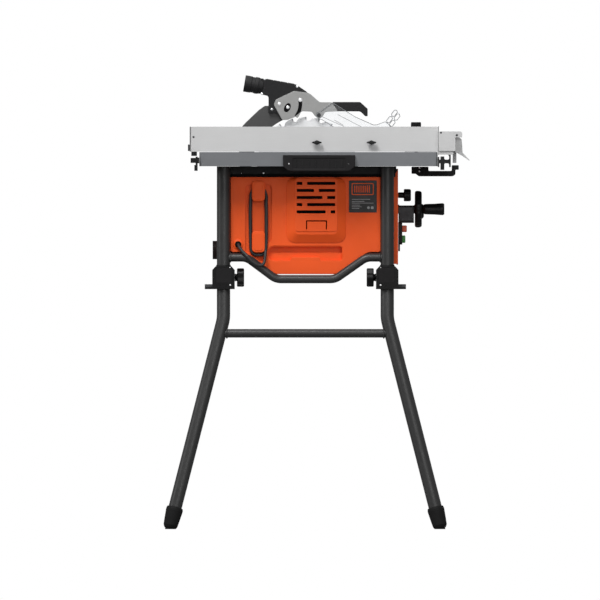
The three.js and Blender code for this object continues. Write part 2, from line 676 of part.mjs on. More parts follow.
function blade() {
  const teeth = 24;
  const s = new THREE.Shape();
  for (let k = 0; k < teeth; k++) {
    const at = (r, share) => {
      const a = (2 * Math.PI * (k + share)) / teeth;
      return [r * Math.cos(a), r * Math.sin(a)];
    };
    if (k) s.lineTo(...at(BLADE_RADIUS - 0.5, 0));
    else s.moveTo(...at(BLADE_RADIUS - 0.5, 0));
    s.lineTo(...at(BLADE_RADIUS, 0.06));
    s.lineTo(...at(BLADE_RADIUS - 7, 0.42));
    s.lineTo(...at(BLADE_RADIUS - 15, 0.7));
    s.lineTo(...at(BLADE_RADIUS - 14, 0.93));
  }
  const disc = prismY(s, -BLADE_HALF, BLADE_HALF).translate(0, 0, ARBOR_Z);
  const bore = rod(v3(0, -5, ARBOR_Z), v3(0, 5, ARBOR_Z), ARBOR_RADIUS + GAP, 14);
  add("blade", cut(disc, bore), plainSteel);
  const shaft = [
    [0, 0], [0, 7], [48, 7], [48, 20], [52, 20],
    [52, ARBOR_RADIUS], [74, ARBOR_RADIUS], [76, 6], [76, 0],
  ];
  add("arbor_shaft", turned(shaft, v3(0, -BLADE_HALF - GAP - 52, ARBOR_Z), v3(0, 1, 0), 14), plainSteel);
  const start = BLADE_HALF + GAP;
  const washer = rod(v3(0, start, ARBOR_Z), v3(0, start + 4, ARBOR_Z), 20, 14);
  const hex = rod(v3(0, start + 3, ARBOR_Z), v3(0, start + 13, ARBOR_Z), 13.5, 6);
  const thread = rod(v3(0, -5, ARBOR_Z), v3(0, 40, ARBOR_Z), ARBOR_RADIUS + GAP, 14);
  add("arbor_nut", cut(join(washer, hex), thread), darkSteel);
}

function motor() {
  const { x, z, radius, left, right } = MOTOR;
  const length = right - left;
  const can = turned([
    [0, 0], [0, radius - 8], [6, radius - 3], [34, radius - 3], [34, radius], [length - 4, radius],
    [length - 4, radius - 6], [length - GAP, radius - 6], [length - GAP, 0],
  ], v3(x, left, z), v3(0, 1, 0), 14);
  const vents = Array.from({ length: 8 }, (_, k) => {
    const a = (Math.PI * 2 * k) / 8;
    const slot = block(-3, 3, left - 2, left + 3, 16, 32);
    return slot.rotateY(a).translate(x, 0, z);
  });
  add("motor_housing", cut(can, ...vents), blackPlastic);
}

function liftCarriage() {
  const { x, z } = MOTOR;
  const hull = new THREE.Shape();
  const angle = Math.atan2(z - ARBOR_Z, x);
  hull.absarc(0, ARBOR_Z, 24, angle + Math.PI / 2, angle + Math.PI * 1.5);
  hull.absarc(x, z, 38, angle + Math.PI * 1.5, angle + Math.PI * 2.5);
  const gearCase = prismY(hull, MOTOR.right, -12);
  const arm = block(-160, 152.5, -33, -14.5, 792, 822);
  const sleeves = POST_X.map((px) => rod(v3(px, POST_Y, 784), v3(px, POST_Y, 834), 12.5, 14));
  const knifeArm = block(-162, -118, -16, -1.6, 792, 850);
  const nutPost = block(132, 152.5, -33, -14.5, 800, 862);
  const nutArm = block(137.5, 152.5, -20, 7.5, 846, 862);
  const bores = POST_X.map((px) => rod(v3(px, POST_Y, 700), v3(px, POST_Y, 900), 7.4, 14));
  const nut = rod(v3(SCREW_X, 0, 780), v3(SCREW_X, 0, 900), 5.4, 12);
  const bearing = rod(v3(0, -55.5, ARBOR_Z), v3(0, 0, ARBOR_Z), ARBOR_RADIUS, 14);
  const body = join(gearCase, arm, ...sleeves, knifeArm, nutPost, nutArm);
  add("lift_carriage", cut(body, ...bores, nut, bearing), castAluminium);
}

function tiltYoke() {
  const plate = outline([
    [-45, 868], [20, 868], [45, 843], [45, 740], [5, 655], [-35, 655], [-45, 740],
  ]);
  const front = prismX(plate, 176, 182);
  const rear = prismX(plate, -198, -192);
  const beam = block(-194, 178, -32, -8, 655, 674);
  const posts = POST_X.map((x) => rod(v3(x, POST_Y, 670), v3(x, POST_Y, 866), 7, 14));
  const foot = block(136, 154, -12, 10, 684, 694);
  const footArm = block(136, 154, -20, -6, 670, 694);
  const screwSeat = rod(v3(SCREW_X, 0, 680), v3(SCREW_X, 0, 700), 4.4, 12);
  const neck = rod(v3(180, 0, WHEEL_Z), v3(224, 0, WHEEL_Z), 11, 14);
  const boss = prismX(roundedOutline(-19, 19, 735, 777, 6), 222, 259);
  const shaft = rod(v3(170, 0, WHEEL_Z), v3(270, 0, WHEEL_Z), 6.4, 14);
  const lug = prismX(roundedOutline(LOCK.y - 9, LOCK.y + 12, LOCK.z - 9, LOCK.z + 9, 5), 176, 182);
  const studHole = rod(v3(170, LOCK.y, LOCK.z), v3(190, LOCK.y, LOCK.z), 4.4, 12);
  const body = join(front, rear, beam, ...posts, foot, footArm, neck, boss, lug);
  add("tilt_yoke", cut(body, screwSeat, shaft, studHole), darkSteel);
}

function liftScrew() {
  const profile = [
    [0, 0], [0, 4], [14.3, 4], [14.3, 5], [67, 5],
    [67, 13.4], [74, 6.4], [76, 5], [180, 5], [180, 0],
  ];
  add("lift_screw", turned(profile, v3(SCREW_X, 0, 686), v3(0, 0, 1), 14), plainSteel);
}

function handwheel() {
  const from = v3(SCREW_X + 8, 0, WHEEL_Z);
  const shaft = turned([
    [0, 0], [0, 6.4], [7, 13.4], [12, 13.4], [12, 6], [112, 6], [112, 0],
  ], from, v3(1, 0, 0), 14);
  const rim = turned([
    [0, WHEEL_RADIUS - 10], [0, WHEEL_RADIUS - 3], [4, WHEEL_RADIUS], [13, WHEEL_RADIUS],
    [17, WHEEL_RADIUS - 3], [17, WHEEL_RADIUS - 10], [0, WHEEL_RADIUS - 10],
  ], v3(261, 0, WHEEL_Z), v3(1, 0, 0), 14);
  const hub = turned([[0, 0], [0, 14], [15, 14], [23, 9], [23, 0]], v3(261, 0, WHEEL_Z), v3(1, 0, 0), 14);
  const web = rod(v3(265, 0, WHEEL_Z), v3(273, 0, WHEEL_Z), WHEEL_RADIUS - 9, 14);
  const windows = [90, 210, 330].map((deg) => {
    const a = THREE.MathUtils.degToRad(deg);
    const [y, z] = [23 * Math.cos(a), WHEEL_Z + 23 * Math.sin(a)];
    return rod(v3(255, y, z), v3(285, y, z), 8, 12);
  });
  const socket = rod(v3(264, -30, WHEEL_Z), v3(290, -30, WHEEL_Z), 3.4, 12);
  const crankSeat = rod(v3(260, -30, WHEEL_Z), v3(278, -30, WHEEL_Z), 9, 12);
  add("handwheel", cut(join(shaft, rim, hub, cut(web, ...windows), crankSeat), socket), blackPlastic);
  const crank = [
    [-12, 0], [-12, 3], [GAP, 3], [GAP, 9], [6, 11.5], [14, 13],
    [30, 13], [46, 14.7], [51, 14], [54, 11], [54, 0],
  ];
  add("crank_handle", turned(crank, v3(278, -30, WHEEL_Z), v3(1, 0, 0), 14), blackPlastic);
}

function bevelLock() {
  const profile = [
    [0, 0], [0, 4], [40, 4], [40, 7], [51.5, 7], [51.5, LOCK.radius - 1],
    [53, LOCK.radius], [66, LOCK.radius], [69, LOCK.radius - 3], [69, 0],
  ];
  add("bevel_lock_knob", turned(profile, v3(183, LOCK.y, LOCK.z), v3(1, 0, 0), 14), blackPlastic);
}

// ---- switch -------------------------------------------------------------------------------

function powerSwitch() {
  const y = -128;
  const plate = prismX(roundedOutline(y - 30, y + 30, 683, 737, 6), 221 + GAP, 231);
  const pocket = (z0, z1) => prismX(roundedOutline(y - 21, y + 21, z0, z1, 3), 226, 240);
  const flap = block(221 + GAP, 225.6, y - 26, y + 26, 667, 685);
  add("switch_box", cut(join(plate, flap), pocket(712, 730), pocket(686, 706)), blackPlastic);
  const red = prismX(roundedOutline(y - 20, y + 20, 713, 729, 3), 229.6, 242);
  add("stop_button", red, redPlastic);
  const green = prismX(roundedOutline(y - 20, y + 20, 687, 705, 3), 229.6, 238.6);
  add("start_button", green, greenPlastic);
}

// ---- assembly -----------------------------------------------------------------------------

for (const [side, sign] of [["left", -1], ["right", 1]]) {
  legFrame(side, sign);
  sideFrame(side, sign);
  legBracket("rear_" + side, UPRIGHT_X[0], sign);
  legBracket("front_" + side, UPRIGHT_X[1], sign);
}
leftCover();
rightCover();
upperChassis();
frontPanel();
rearPanel();
powerCord();
tableTop();
rails();
tableHandle();
extensionWing();
extensionLever();
fence();
miterGauge();
rivingKnife();
dustHood();
guardArm();
clearGuard("left_clear_guard", -19.6);
clearGuard("right_clear_guard", 19.6);
blade();
motor();
liftCarriage();
tiltYoke();
liftScrew();
handwheel();
bevelLock();
powerSwitch();

// The origin is on the floor, at the centre of the overall footprint.
const footprint = new THREE.Box3().setFromObject(saw, true);
saw.position.x = -(footprint.min.x + footprint.max.x) / 2;

export default saw;
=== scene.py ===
"""Looks for a 10 inch jobsite table saw on a folding tube stand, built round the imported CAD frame.

Shapes are written in millimetres: x from the raised blade's axis towards the operator,
y from the blade's plane towards the operator's right, z from the floor.
"""

import json
from math import atan2, cos, degrees, exp, pi, radians, sin, tan

import bmesh
import bpy
from mathutils import Matrix, Vector, noise


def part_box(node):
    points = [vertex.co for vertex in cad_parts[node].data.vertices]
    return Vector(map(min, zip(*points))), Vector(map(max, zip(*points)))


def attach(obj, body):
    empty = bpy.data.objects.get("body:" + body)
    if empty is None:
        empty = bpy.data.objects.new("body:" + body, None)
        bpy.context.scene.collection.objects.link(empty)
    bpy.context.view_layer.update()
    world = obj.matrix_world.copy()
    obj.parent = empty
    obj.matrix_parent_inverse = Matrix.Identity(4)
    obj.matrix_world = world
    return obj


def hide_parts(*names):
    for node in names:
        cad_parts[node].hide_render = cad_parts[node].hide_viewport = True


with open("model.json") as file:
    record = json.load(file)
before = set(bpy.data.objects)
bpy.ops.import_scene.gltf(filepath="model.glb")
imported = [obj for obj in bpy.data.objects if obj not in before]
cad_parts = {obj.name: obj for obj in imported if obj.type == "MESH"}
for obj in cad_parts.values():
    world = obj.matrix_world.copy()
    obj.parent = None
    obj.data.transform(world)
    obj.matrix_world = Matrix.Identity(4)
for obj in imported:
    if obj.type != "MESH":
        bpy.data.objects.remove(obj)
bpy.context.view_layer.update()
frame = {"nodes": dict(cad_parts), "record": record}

MM = 0.001
NODES = frame["nodes"]
BODY_OF = {n: b for b, names in frame["record"]["behaviour"]["bodies"].items() for n in names}
BLADE_LOW, BLADE_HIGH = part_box("blade")
ARBOR_X = (BLADE_LOW.x + BLADE_HIGH.x) / 2
ARBOR_Z = (BLADE_LOW.z + BLADE_HIGH.z) / 2 / MM
BLADE_RADIUS = (BLADE_HIGH.z - BLADE_LOW.z) / 2 / MM
LEFT, RIGHT, FRONT, UP = (0, -1, 0), (0, 1, 0), (1, 0, 0), (0, 0, 1)
SHARP = 32  # degrees between faces above which an edge of a built piece stays sharp
BRUSH_STRETCH = 0.02
GRAIN_DEPTH = 0.0004
WEAR_WIDTH = 0.0016
MIX_A, MIX_B, MIX_RESULT = 6, 7, 2  # colour sockets of a Mix node


class Box:
    """A CAD node's box in the shapes' own millimetres."""

    def __init__(self, node):
        low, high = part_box(node)
        self.x0, self.x1 = (low.x - ARBOR_X) / MM, (high.x - ARBOR_X) / MM
        self.y0, self.y1 = low.y / MM, high.y / MM
        self.z0, self.z1 = low.z / MM, high.z / MM
        self.x, self.y, self.z = (self.x0 + self.x1) / 2, (self.y0 + self.y1) / 2, (self.z0 + self.z1) / 2


# ---- shapes ----


def rounded(points, radius, steps):
    """A closed outline with its corners eased. A point's third number is its own radius."""
    out = []
    for i, p in enumerate(points):
        own = p[2] if len(p) > 2 else radius
        here = Vector(p[:2])
        back = Vector(points[i - 1][:2]) - here
        ahead = Vector(points[(i + 1) % len(points)][:2]) - here
        if own <= 0 or back.length < 1e-6 or ahead.length < 1e-6:
            out.append(tuple(here))
            continue
        corner = back.angle(ahead)
        if corner > 3.12:
            out.append(tuple(here))
            continue
        reach = min(own / tan(corner / 2), 0.48 * back.length, 0.48 * ahead.length)
        start, end = here + back.normalized() * reach, here + ahead.normalized() * reach
        for k in range(steps + 1):
            t = k / steps
            out.append(tuple(start.lerp(here, t).lerp(here.lerp(end, t), t)))
    return out


def rect(a0, a1, b0, b1, radius=2, steps=5):
    return rounded([(a0, b0), (a1, b0), (a1, b1), (a0, b1)], radius, steps)


def ring(u, v, radius, sides=24):
    return [(u + radius * cos(2 * pi * k / sides), v + radius * sin(2 * pi * k / sides))
        for k in range(sides)]


def arc(u, v, radius, start, end, steps):
    """Points on an arc, in degrees."""
    turns = [radians(start + (end - start) * k / steps) for k in range(steps + 1)]
    return [(u + radius * cos(a), v + radius * sin(a)) for a in turns]


AXES = {
    "y": Matrix(((1, 0, 0, 0), (0, 0, 1, 0), (0, 1, 0, 0), (0, 0, 0, 1))),
    "x": Matrix(((0, 0, 1, 0), (1, 0, 0, 0), (0, 1, 0, 0), (0, 0, 0, 1))),
    "z": Matrix.Identity(4),
}


def plate(loops, low, high, edge=0.6, axis="y", steps=2):
    """An outline with holes, carried along an axis from low to high, with rounded edges."""
    curve = bpy.data.curves.new("outline", "CURVE")
    curve.dimensions, curve.fill_mode = "2D", "BOTH"
    edge = min(edge, (high - low) * 0.49)
    curve.extrude = (high - low) / 2 - edge
    curve.bevel_depth, curve.bevel_resolution, curve.offset = edge, steps, -edge
    for loop in loops:
        spline = curve.splines.new("POLY")
        spline.points.add(len(loop) - 1)
        for point, (u, v) in zip(spline.points, loop):
            point.co = (u, v, 0, 1)
        spline.use_cyclic_u = True
    holder = bpy.data.objects.new("outline", curve)
    mesh = bpy.data.meshes.new_from_object(holder)
    bm = bmesh.new()
    bm.from_mesh(mesh)
    bpy.data.objects.remove(holder)
    bpy.data.curves.remove(curve)
    bpy.data.meshes.remove(mesh)
    bmesh.ops.remove_doubles(bm, verts=bm.verts, dist=1e-4)
    lift = Matrix.Translation((0, 0, (low + high) / 2))
    bmesh.ops.transform(bm, matrix=AXES[axis] @ lift, verts=bm.verts)
    return bm


def pad(corners, *rest, **more):
    """A plate with a rectangle as its outline."""
    return plate([rect(*corners)], *rest, **more)


def block(x0, x1, y0, y1, z0, z1, edge):
    return pad((x0, x1, z0, z1, edge, 2), y0, y1, edge)


def skin_rings(bm, rings, closed=False):
    count = len(rings)
    for i in range(count if closed else count - 1):
        a, b = rings[i], rings[(i + 1) % count]
        n = max(len(a), len(b))
        for k in range(n):
            if len(a) == 1:
                bm.faces.new((a[0], b[k], b[(k + 1) % n]))
            elif len(b) == 1:
                bm.faces.new((a[k], b[0], a[(k + 1) % n]))
            else:
                bm.faces.new((a[k], b[k], b[(k + 1) % n], a[(k + 1) % n]))


def lathe(profile, start, direction, sides, edge=0, wave=None):
    """Turns (distance along, radius) about an axis. wave(angle, along) scales the radius."""
    if edge:
        ends = [(*profile[0][:2], 0), *profile[1:-1], (*profile[-1][:2], 0)]
        profile = rounded(ends, edge, 3)
    q = Vector((0, 0, 1)).rotation_difference(Vector(direction).normalized())
    start = Vector(start)
    bm = bmesh.new()
    rings = []
    for along, radius in profile:
        if radius < 1e-6:
            rings.append([bm.verts.new(start + q @ Vector((0, 0, along)))])
            continue
        row = []
        for k in range(sides):
            a = 2 * pi * k / sides
            r = radius * (wave(a, along) if wave else 1)
            row.append(bm.verts.new(start + q @ Vector((r * cos(a), r * sin(a), along))))
        rings.append(row)
    skin_rings(bm, rings, closed=profile[0][1] > 1e-6)
    return bm


def drum(radius, length):
    """The profile of a plain cylinder."""
    return [(0, 0), (0, radius), (length, radius), (length, 0)]


def bent(corners, bend, steps=10):
    """A path through the corners with true arcs at each."""
    corners = [Vector(c) for c in corners]
    out = [corners[0]]
    for i in range(1, len(corners) - 1):
        into, ahead = corners[i] - corners[i - 1], corners[i + 1] - corners[i]
        turn = into.angle(ahead)
        if turn < 1e-3:
            out.append(corners[i])
            continue
        reach = min(bend * tan(turn / 2), 0.49 * into.length, 0.49 * ahead.length)
        radius = reach / tan(turn / 2)
        hinge = into.cross(ahead).normalized()
        start = corners[i] - into.normalized() * reach
        centre = start + hinge.cross(into.normalized()) * radius
        for k in range(steps + 1):
            out.append(centre + Matrix.Rotation(turn * k / steps, 3, hinge) @ (start - centre))
    out.append(corners[-1])
    return out


def sweep(points, radius, sides, closed=False, domed=False):
    """A round section carried along points. radius may be a function of the share along."""
    bm = bmesh.new()
    count = len(points)
    size = radius if callable(radius) else (lambda share: radius)
    tangents = []
    for i in range(count):
        a = points[i - 1] if (i or closed) else points[i]
        b = points[(i + 1) % count] if (i < count - 1 or closed) else points[i]
        tangents.append((b - a).normalized())
    normal = tangents[0].orthogonal().normalized()
    rings = []
    for i, (point, tangent) in enumerate(zip(points, tangents)):
        if i:
            normal = tangents[i - 1].rotation_difference(tangent) @ normal
        side = tangent.cross(normal)
        r = size(i / max(count - 1, 1))
        rings.append([bm.verts.new(point + (normal * cos(a) + side * sin(a)) * r)
            for a in (2 * pi * k / sides for k in range(sides))])
    skin_rings(bm, rings, closed)
    if not closed:
        for end, tangent, row in ((points[0], -tangents[0], rings[0]), (points[-1], tangents[-1],
            rings[-1])):
            last = row
            if domed:
                for k in range(1, 4):
                    lean = pi / 2 * k / 4
                    spokes = [v.co - end for v in row]
                    ahead = [bm.verts.new(end + s * cos(lean) + tangent * s.length * sin(lean))
                        for s in spokes]
                    skin_rings(bm, [last, ahead])
                    last = ahead
            tip = bm.verts.new(end + tangent * (size(0) if domed else 0))
            skin_rings(bm, [last, [tip]])
    return bm


def tube(corners, radius, bend, sides, domed=False):
    return sweep(bent(corners, bend), radius, sides, domed=domed)


def moved(bm, matrix):
    bmesh.ops.transform(bm, matrix=matrix, verts=bm.verts)
    return bm


def link_in(obj):
    bpy.context.scene.collection.objects.link(obj)
    return obj


def add(shapes, name, material, replaces="", body="", slot=""):
    """One Blender piece from bmesh shapes, in place, riding on the body of the node it replaces."""
    whole = bmesh.new()
    for bm in shapes if isinstance(shapes, (list, tuple)) else [shapes]:
        bmesh.ops.recalc_face_normals(bm, faces=bm.faces)
        part = bpy.data.meshes.new("part")
        bm.to_mesh(part)
        bm.free()
        whole.from_mesh(part)
        bpy.data.meshes.remove(part)
    to_row = Matrix.Translation((ARBOR_X, 0, 0)) @ Matrix.Scale(MM, 4)
    bmesh.ops.transform(whole, matrix=to_row, verts=whole.verts)
    mesh = bpy.data.meshes.new(name)
    whole.to_mesh(mesh)
    whole.free()
    mesh.shade_smooth()
    mesh.set_sharp_from_angle(angle=radians(SHARP))
    mesh.materials.append(material)
    obj = link_in(bpy.data.objects.new(name, mesh))
    obj.modifiers.new("normals", "WEIGHTED_NORMAL").keep_sharp = True
    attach(obj, body or BODY_OF.get(replaces, "root"))
    slot or SLOT_FOR[material.name]
    if replaces:
        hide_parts(replaces)


# ---- materials ----


def linear(colour):
    parts = [c / 255 for c in colour]
    return tuple(c / 12.92 if c <= 0.04045 else ((c + 0.055) / 1.055) ** 2.4 for c in parts) + (1,)


class Nodes:
    """A node tree, with short ways to add, feed and join its nodes."""

    def __init__(self, owner):
        owner.use_nodes = True
        self.tree = owner.node_tree

    def new(self, kind, inputs=None, **settings):
        node = self.tree.nodes.new("ShaderNode" + kind)
        for key, value in settings.items():
            setattr(node, key, value)
        self.feed(node, inputs or {})
        return node

    def feed(self, node, inputs):
        """Sets each input to a number or a colour, or joins it to another node's output."""
        for key, value in inputs.items():
            if isinstance(value, bpy.types.NodeSocket):
                self.tree.links.new(value, node.inputs[key])
            else:
                node.inputs[key].default_value = value

    def noise(self, vector, scale, detail=2):
        return self.new("TexNoise", {"Scale": scale, "Detail": detail, "Vector": vector}).outputs["Fac"]

    def span(self, value, low, high, from_low=0.3, from_high=0.7):
        ends = {"From Min": from_low, "From Max": from_high, "To Min": low, "To Max": high}
        return self.new("MapRange", {**ends, "Value": value}).outputs["Result"]

    def maths(self, operation, a, b):
        return self.new("Math", {0: a, 1: b}, operation=operation).outputs[0]

    def vector_maths(self, operation, a, b, output=0):
        return self.new("VectorMath", {0: a, 1: b}, operation=operation).outputs[output]

    def place(self):
        return self.new("TexCoord").outputs["Object"]


def blank_material(name):
    material = bpy.data.materials.new(name)
    return material, Nodes(material)


def finish(name, colour, rough, metal, grain, bump, tone, wear, brush=None, spun=None, shine=0.35):
    """A finish with broad colour drift, fine grain, uneven gloss and lighter worn edges.

    brush names the axis a brushed surface runs along; spun gives the (x, z) centre in metres of a lathed one.
    """
    material, n = blank_material(name)
    place = fine = n.place()
    if brush:
        stretch = [BRUSH_STRETCH if a == brush else 1 for a in "xyz"]
        fine = n.new("Mapping", {"Scale": stretch, "Vector": place}).outputs["Vector"]
    if spun:
        spoke = n.vector_maths("SUBTRACT", place, (spun[0], 0, spun[1]))
        length = n.new("VectorMath", {0: spoke}, operation="LENGTH").outputs["Value"]
        fine = n.new("CombineXYZ", {0: length}).outputs[0]
    broad, middle, detail = n.noise(place, 9, 3), n.noise(place, 70, 3), n.noise(fine, grain)
    shade = n.maths("ADD", n.span(broad, -tone, tone), n.span(detail, -tone * 0.7, tone * 0.7))
    base = n.new("HueSaturation", {"Color": linear(colour), "Value": n.maths("ADD", shade, 1)}).outputs[0]
    gloss = n.maths("ADD", n.span(middle, rough - 0.07, rough + 0.07), n.span(detail, -0.03, 0.03))
    relief = n.new("Bump", {"Strength": bump, "Distance": GRAIN_DEPTH, "Height": detail}).outputs[0]
    if wear:
        soft = n.new("Bevel", {"Radius": WEAR_WIDTH}, samples=2).outputs[0]
        hard = n.new("NewGeometry").outputs["Normal"]
        facing = n.vector_maths("DOT_PRODUCT", soft, hard, "Value")
        edge = n.span(facing, 1, 0, 0.80, 0.985)
        amount = n.maths("MULTIPLY", edge, n.span(middle, 0.25, 1))
        amount = n.maths("MULTIPLY", amount, wear)
        worn = [min(255, c * 0.62 + 62) for c in colour]
        mix = n.new("Mix", {"Factor": amount}, data_type="RGBA")
        n.feed(mix, {MIX_A: base, MIX_B: linear(worn)})
        base = mix.outputs[MIX_RESULT]
    n.feed(n.tree.nodes["Principled BSDF"], {"Base Color": base, "Roughness": gloss, "Normal": relief,
        "Metallic": metal, "Specular IOR Level": shine})
    material.diffuse_color = linear(colour)
    return material


def clear_finish(name):
    """Clear polycarbonate: see-through, with a faint uneven gleam."""
    material, n = blank_material(name)
    haze = n.noise(n.place(), 40, 3)
    seen = n.new("BsdfTransparent", {"Color": (0.992, 0.994, 0.996, 1)})
    gleam = n.new("BsdfPrincipled", {"Base Color": (0.8, 0.82, 0.84, 1),
        "Roughness": n.span(haze, 0.1, 0.24)})
    sheet = n.new("MixShader", {0: n.span(haze, 0.02, 0.05), 1: seen.outputs[0], 2: gleam.outputs[0]})
    n.feed(n.tree.nodes["Material Output"], {"Surface": sheet.outputs[0]})
    return material


ARBOR = (ARBOR_X, ARBOR_Z * MM)
POWDER = finish("powder_coat", (46, 46, 46), 0.4, 0, 1100, 0.35, 0.07, 0.2, shine=0.4)
BLACK = finish("black_moulded", (24, 24, 25), 0.55, 0, 1500, 0.25, 0.1, 0.15, shine=0.22)
GLOSS_BLACK = finish("black_grip", (10, 10, 11), 0.4, 0, 1500, 0.15, 0.1, 0.15, shine=0.25)
# Near-black that paints the shade seen through openings, in gaps and inside hollows.
SHADE_BLACK = finish("painted_shade_black", (7, 7, 8), 0.7, 0, 1300, 0.2, 0.1, 0, shine=0.1)
ANODISED = finish("black_anodised", (16, 16, 17), 0.42, 0.2, 1200, 0.12, 0.08, 0.15, "y", shine=0.25)
ORANGE = finish("orange_moulded", (233, 87, 31), 0.5, 0, 1500, 0.22, 0.035, 0.06, shine=0.2)
TABLE = finish("table_casting", (106, 108, 111), 0.42, 0.2, 1000, 0.15, 0.05, 0.2, "x")
CASTING = finish("sand_casting", (120, 121, 123), 0.55, 0.5, 700, 0.5, 0.08, 0.2)
FENCE = finish("fence_extrusion", (185, 185, 185), 0.4, 0.1, 1300, 0.1, 0.02, 0.1, "x")
FENCE_EDGE = finish("fence_end_plate", (104, 104, 104), 0.4, 0.2, 1300, 0.1, 0.05, 0.2)
GREY = finish("grey_arm", (140, 140, 139), 0.42, 0.1, 1300, 0.15, 0.04, 0.3)
LEVER_GREY = finish("grey_lever", (196, 196, 196), 0.4, 0.2, 1300, 0.12, 0.04, 0.2)
STEEL = finish("bright_steel", (226, 227, 228), 0.3, 0.5, 1400, 0.08, 0.04, 0.15)
BLADE_STEEL = finish("ground_blade", (226, 227, 228), 0.34, 0.35, 1600, 0.2, 0.06, 0.15, spun=ARBOR)
CARBIDE = finish("carbide_tips", (150, 152, 155), 0.35, 0.5, 2000, 0.1, 0.08, 0.2)
KNIFE = finish("riving_knife_plate", (68, 68, 68), 0.46, 0.2, 1200, 0.12, 0.05, 0.2, "x")
DARK_STEEL = finish("dark_steel", (52, 53, 55), 0.42, 0.5, 1100, 0.2, 0.07, 0.3)
RUBBER = finish("foot_rubber", (20, 20, 20), 0.74, 0, 800, 0.5, 0.12, 0.08, shine=0.2)
CORD = finish("cord_rubber", (44, 45, 46), 0.5, 0, 900, 0.25, 0.06, 0)
RED = finish("red_moulded", (206, 84, 50), 0.4, 0, 1500, 0.12, 0.05, 0.15)
GREEN = finish("green_moulded", (62, 140, 62), 0.4, 0, 1500, 0.12, 0.05, 0.15)
PLAQUE = finish("plaque_dark", (44, 43, 43), 0.5, 0.1, 1400, 0.15, 0.05, 0.15)
PALE = finish("printed_grey", (150, 150, 150), 0.5, 0, 1200, 0.1, 0.05, 0)
# Opaque grey: painted shade for the dark lines the clear sheet's edges and beads show.
SHEET_EDGE_SHADE = finish("clear_sheet_edge_shade", (118, 120, 122), 0.3, 0, 1500, 0.1, 0.08, 0)
THROAT = finish("throat_plate_satin", (150, 151, 153), 0.45, 0.2, 1300, 0.1, 0.04, 0, "x")
PLATED = finish("plated_bar", (140, 141, 143), 0.38, 0.5, 1200, 0.1, 0.05, 0.15, "x")
BRACKET = finish("black_bracket", (9, 9, 10), 0.5, 0, 1500, 0.25, 0.1, 0.15, shine=0.2)
BRACKET_FACE = finish("black_bracket_face", (27, 26, 27), 0.6, 0, 1500, 0.25, 0.1, 0.08, shine=0.15)
CLEAR = clear_finish("clear_guard_sheet")

SLOTS = {
    "powder_coat": [POWDER],
    "foot_rubber": [RUBBER, CORD],
    "black_plastic": [BLACK, GLOSS_BLACK, SHADE_BLACK, PLAQUE, PALE, BRACKET_FACE],
    "black_aluminium": [ANODISED],
    "orange_plastic": [ORANGE],
    "red_plastic": [RED],
    "green_plastic": [GREEN],
    "grey_plastic": [GREY, LEVER_GREY],
    "fence_aluminium": [FENCE, FENCE_EDGE],
    "bright_steel": [STEEL, BLADE_STEEL, CARBIDE],
    "dark_steel": [DARK_STEEL, KNIFE],
    "clear_plastic": [CLEAR, SHEET_EDGE_SHADE],
}
SLOT_FOR = {material.name: slot for slot, group in SLOTS.items() for material in group}


def keep(node, material, edge, segments=2, angle=30):
    """A CAD node that stays: its flat faces are merged, its edges eased and its finish set."""
    obj = NODES[node]
    flat = obj.modifiers.new("flat faces", "DECIMATE")
    flat.decimate_type, flat.angle_limit = "DISSOLVE", radians(1)
    smooth = obj.modifiers.new("smooth", "NODES")
    smooth.node_group = SMOOTH
    if edge:
        bevel = obj.modifiers.new("edges", "BEVEL")
        bevel.width, bevel.segments = edge * MM, segments
        bevel.limit_method, bevel.angle_limit = "ANGLE", radians(angle)
        bevel.harden_normals = True
        bevel.use_clamp_overlap = True
    obj.data.materials.clear()
    obj.data.materials.append(material)


def smooth_group():
    """Geometry nodes that drop stored normals and shade smooth except over sharp edges."""
    group = bpy.data.node_groups.new("smooth by angle", "GeometryNodeTree")
    for way in ("INPUT", "OUTPUT"):
        group.interface.new_socket("Geometry", in_out=way, socket_type="NodeSocketGeometry")
    new, link = group.nodes.new, group.links.new
    drop = new("GeometryNodeRemoveAttribute")
    drop.inputs["Name"].default_value = "custom_normal"
    faces, edges = new("GeometryNodeSetShadeSmooth"), new("GeometryNodeSetShadeSmooth")
    edges.domain = "EDGE"
    faces.inputs["Shade Smooth"].default_value = True
    edges.inputs["Shade Smooth"].default_value = False
    compare = new("FunctionNodeCompare")
    compare.data_type, compare.operation = "FLOAT", "GREATER_THAN"
    compare.inputs[1].default_value = radians(30)
    link(new("GeometryNodeInputMeshEdgeAngle").outputs["Unsigned Angle"], compare.inputs[0])
    link(compare.outputs[0], edges.inputs["Selection"])
    chain = [new("NodeGroupInput"), drop, faces, edges, new("NodeGroupOutput")]
    for one, following in zip(chain, chain[1:]):
        link(one.outputs[0], following.inputs[0])
    return group


SMOOTH = smooth_group()


def screw(x, y, z, direction, radius, height):
    """A plain pan head."""
    return lathe([(0, 0), (0, radius), (height * 0.5, radius), (height, radius * 0.55), (height, 0)],
        (x, y, z), direction, 20, 0.5)


# ---- stand ----

SIDE_Y = Box("right_side_frame").y
PIVOT_Z = Box("rear_left_pivot_pin").z
UPRIGHT_X = [Box("rear_left_leg_bracket").x, Box("front_left_leg_bracket").x]
TUBE = (Box("right_side_frame").y1 - Box("right_side_frame").y0) / 2
LEG_TILT = 9.5
LEG_BEND_Z = 505
FLOOR_X = [-327.5, 323.5]
CROSSBAR_Z = 470
CROSSBAR = 10.3
LOCK_Z = 604  # axis of the leg lock knobs
CRADLE_HIGH, CRADLE_LOW = 652, 600


def down(z):
    return (z - PIVOT_Z) / cos(radians(LEG_TILT))


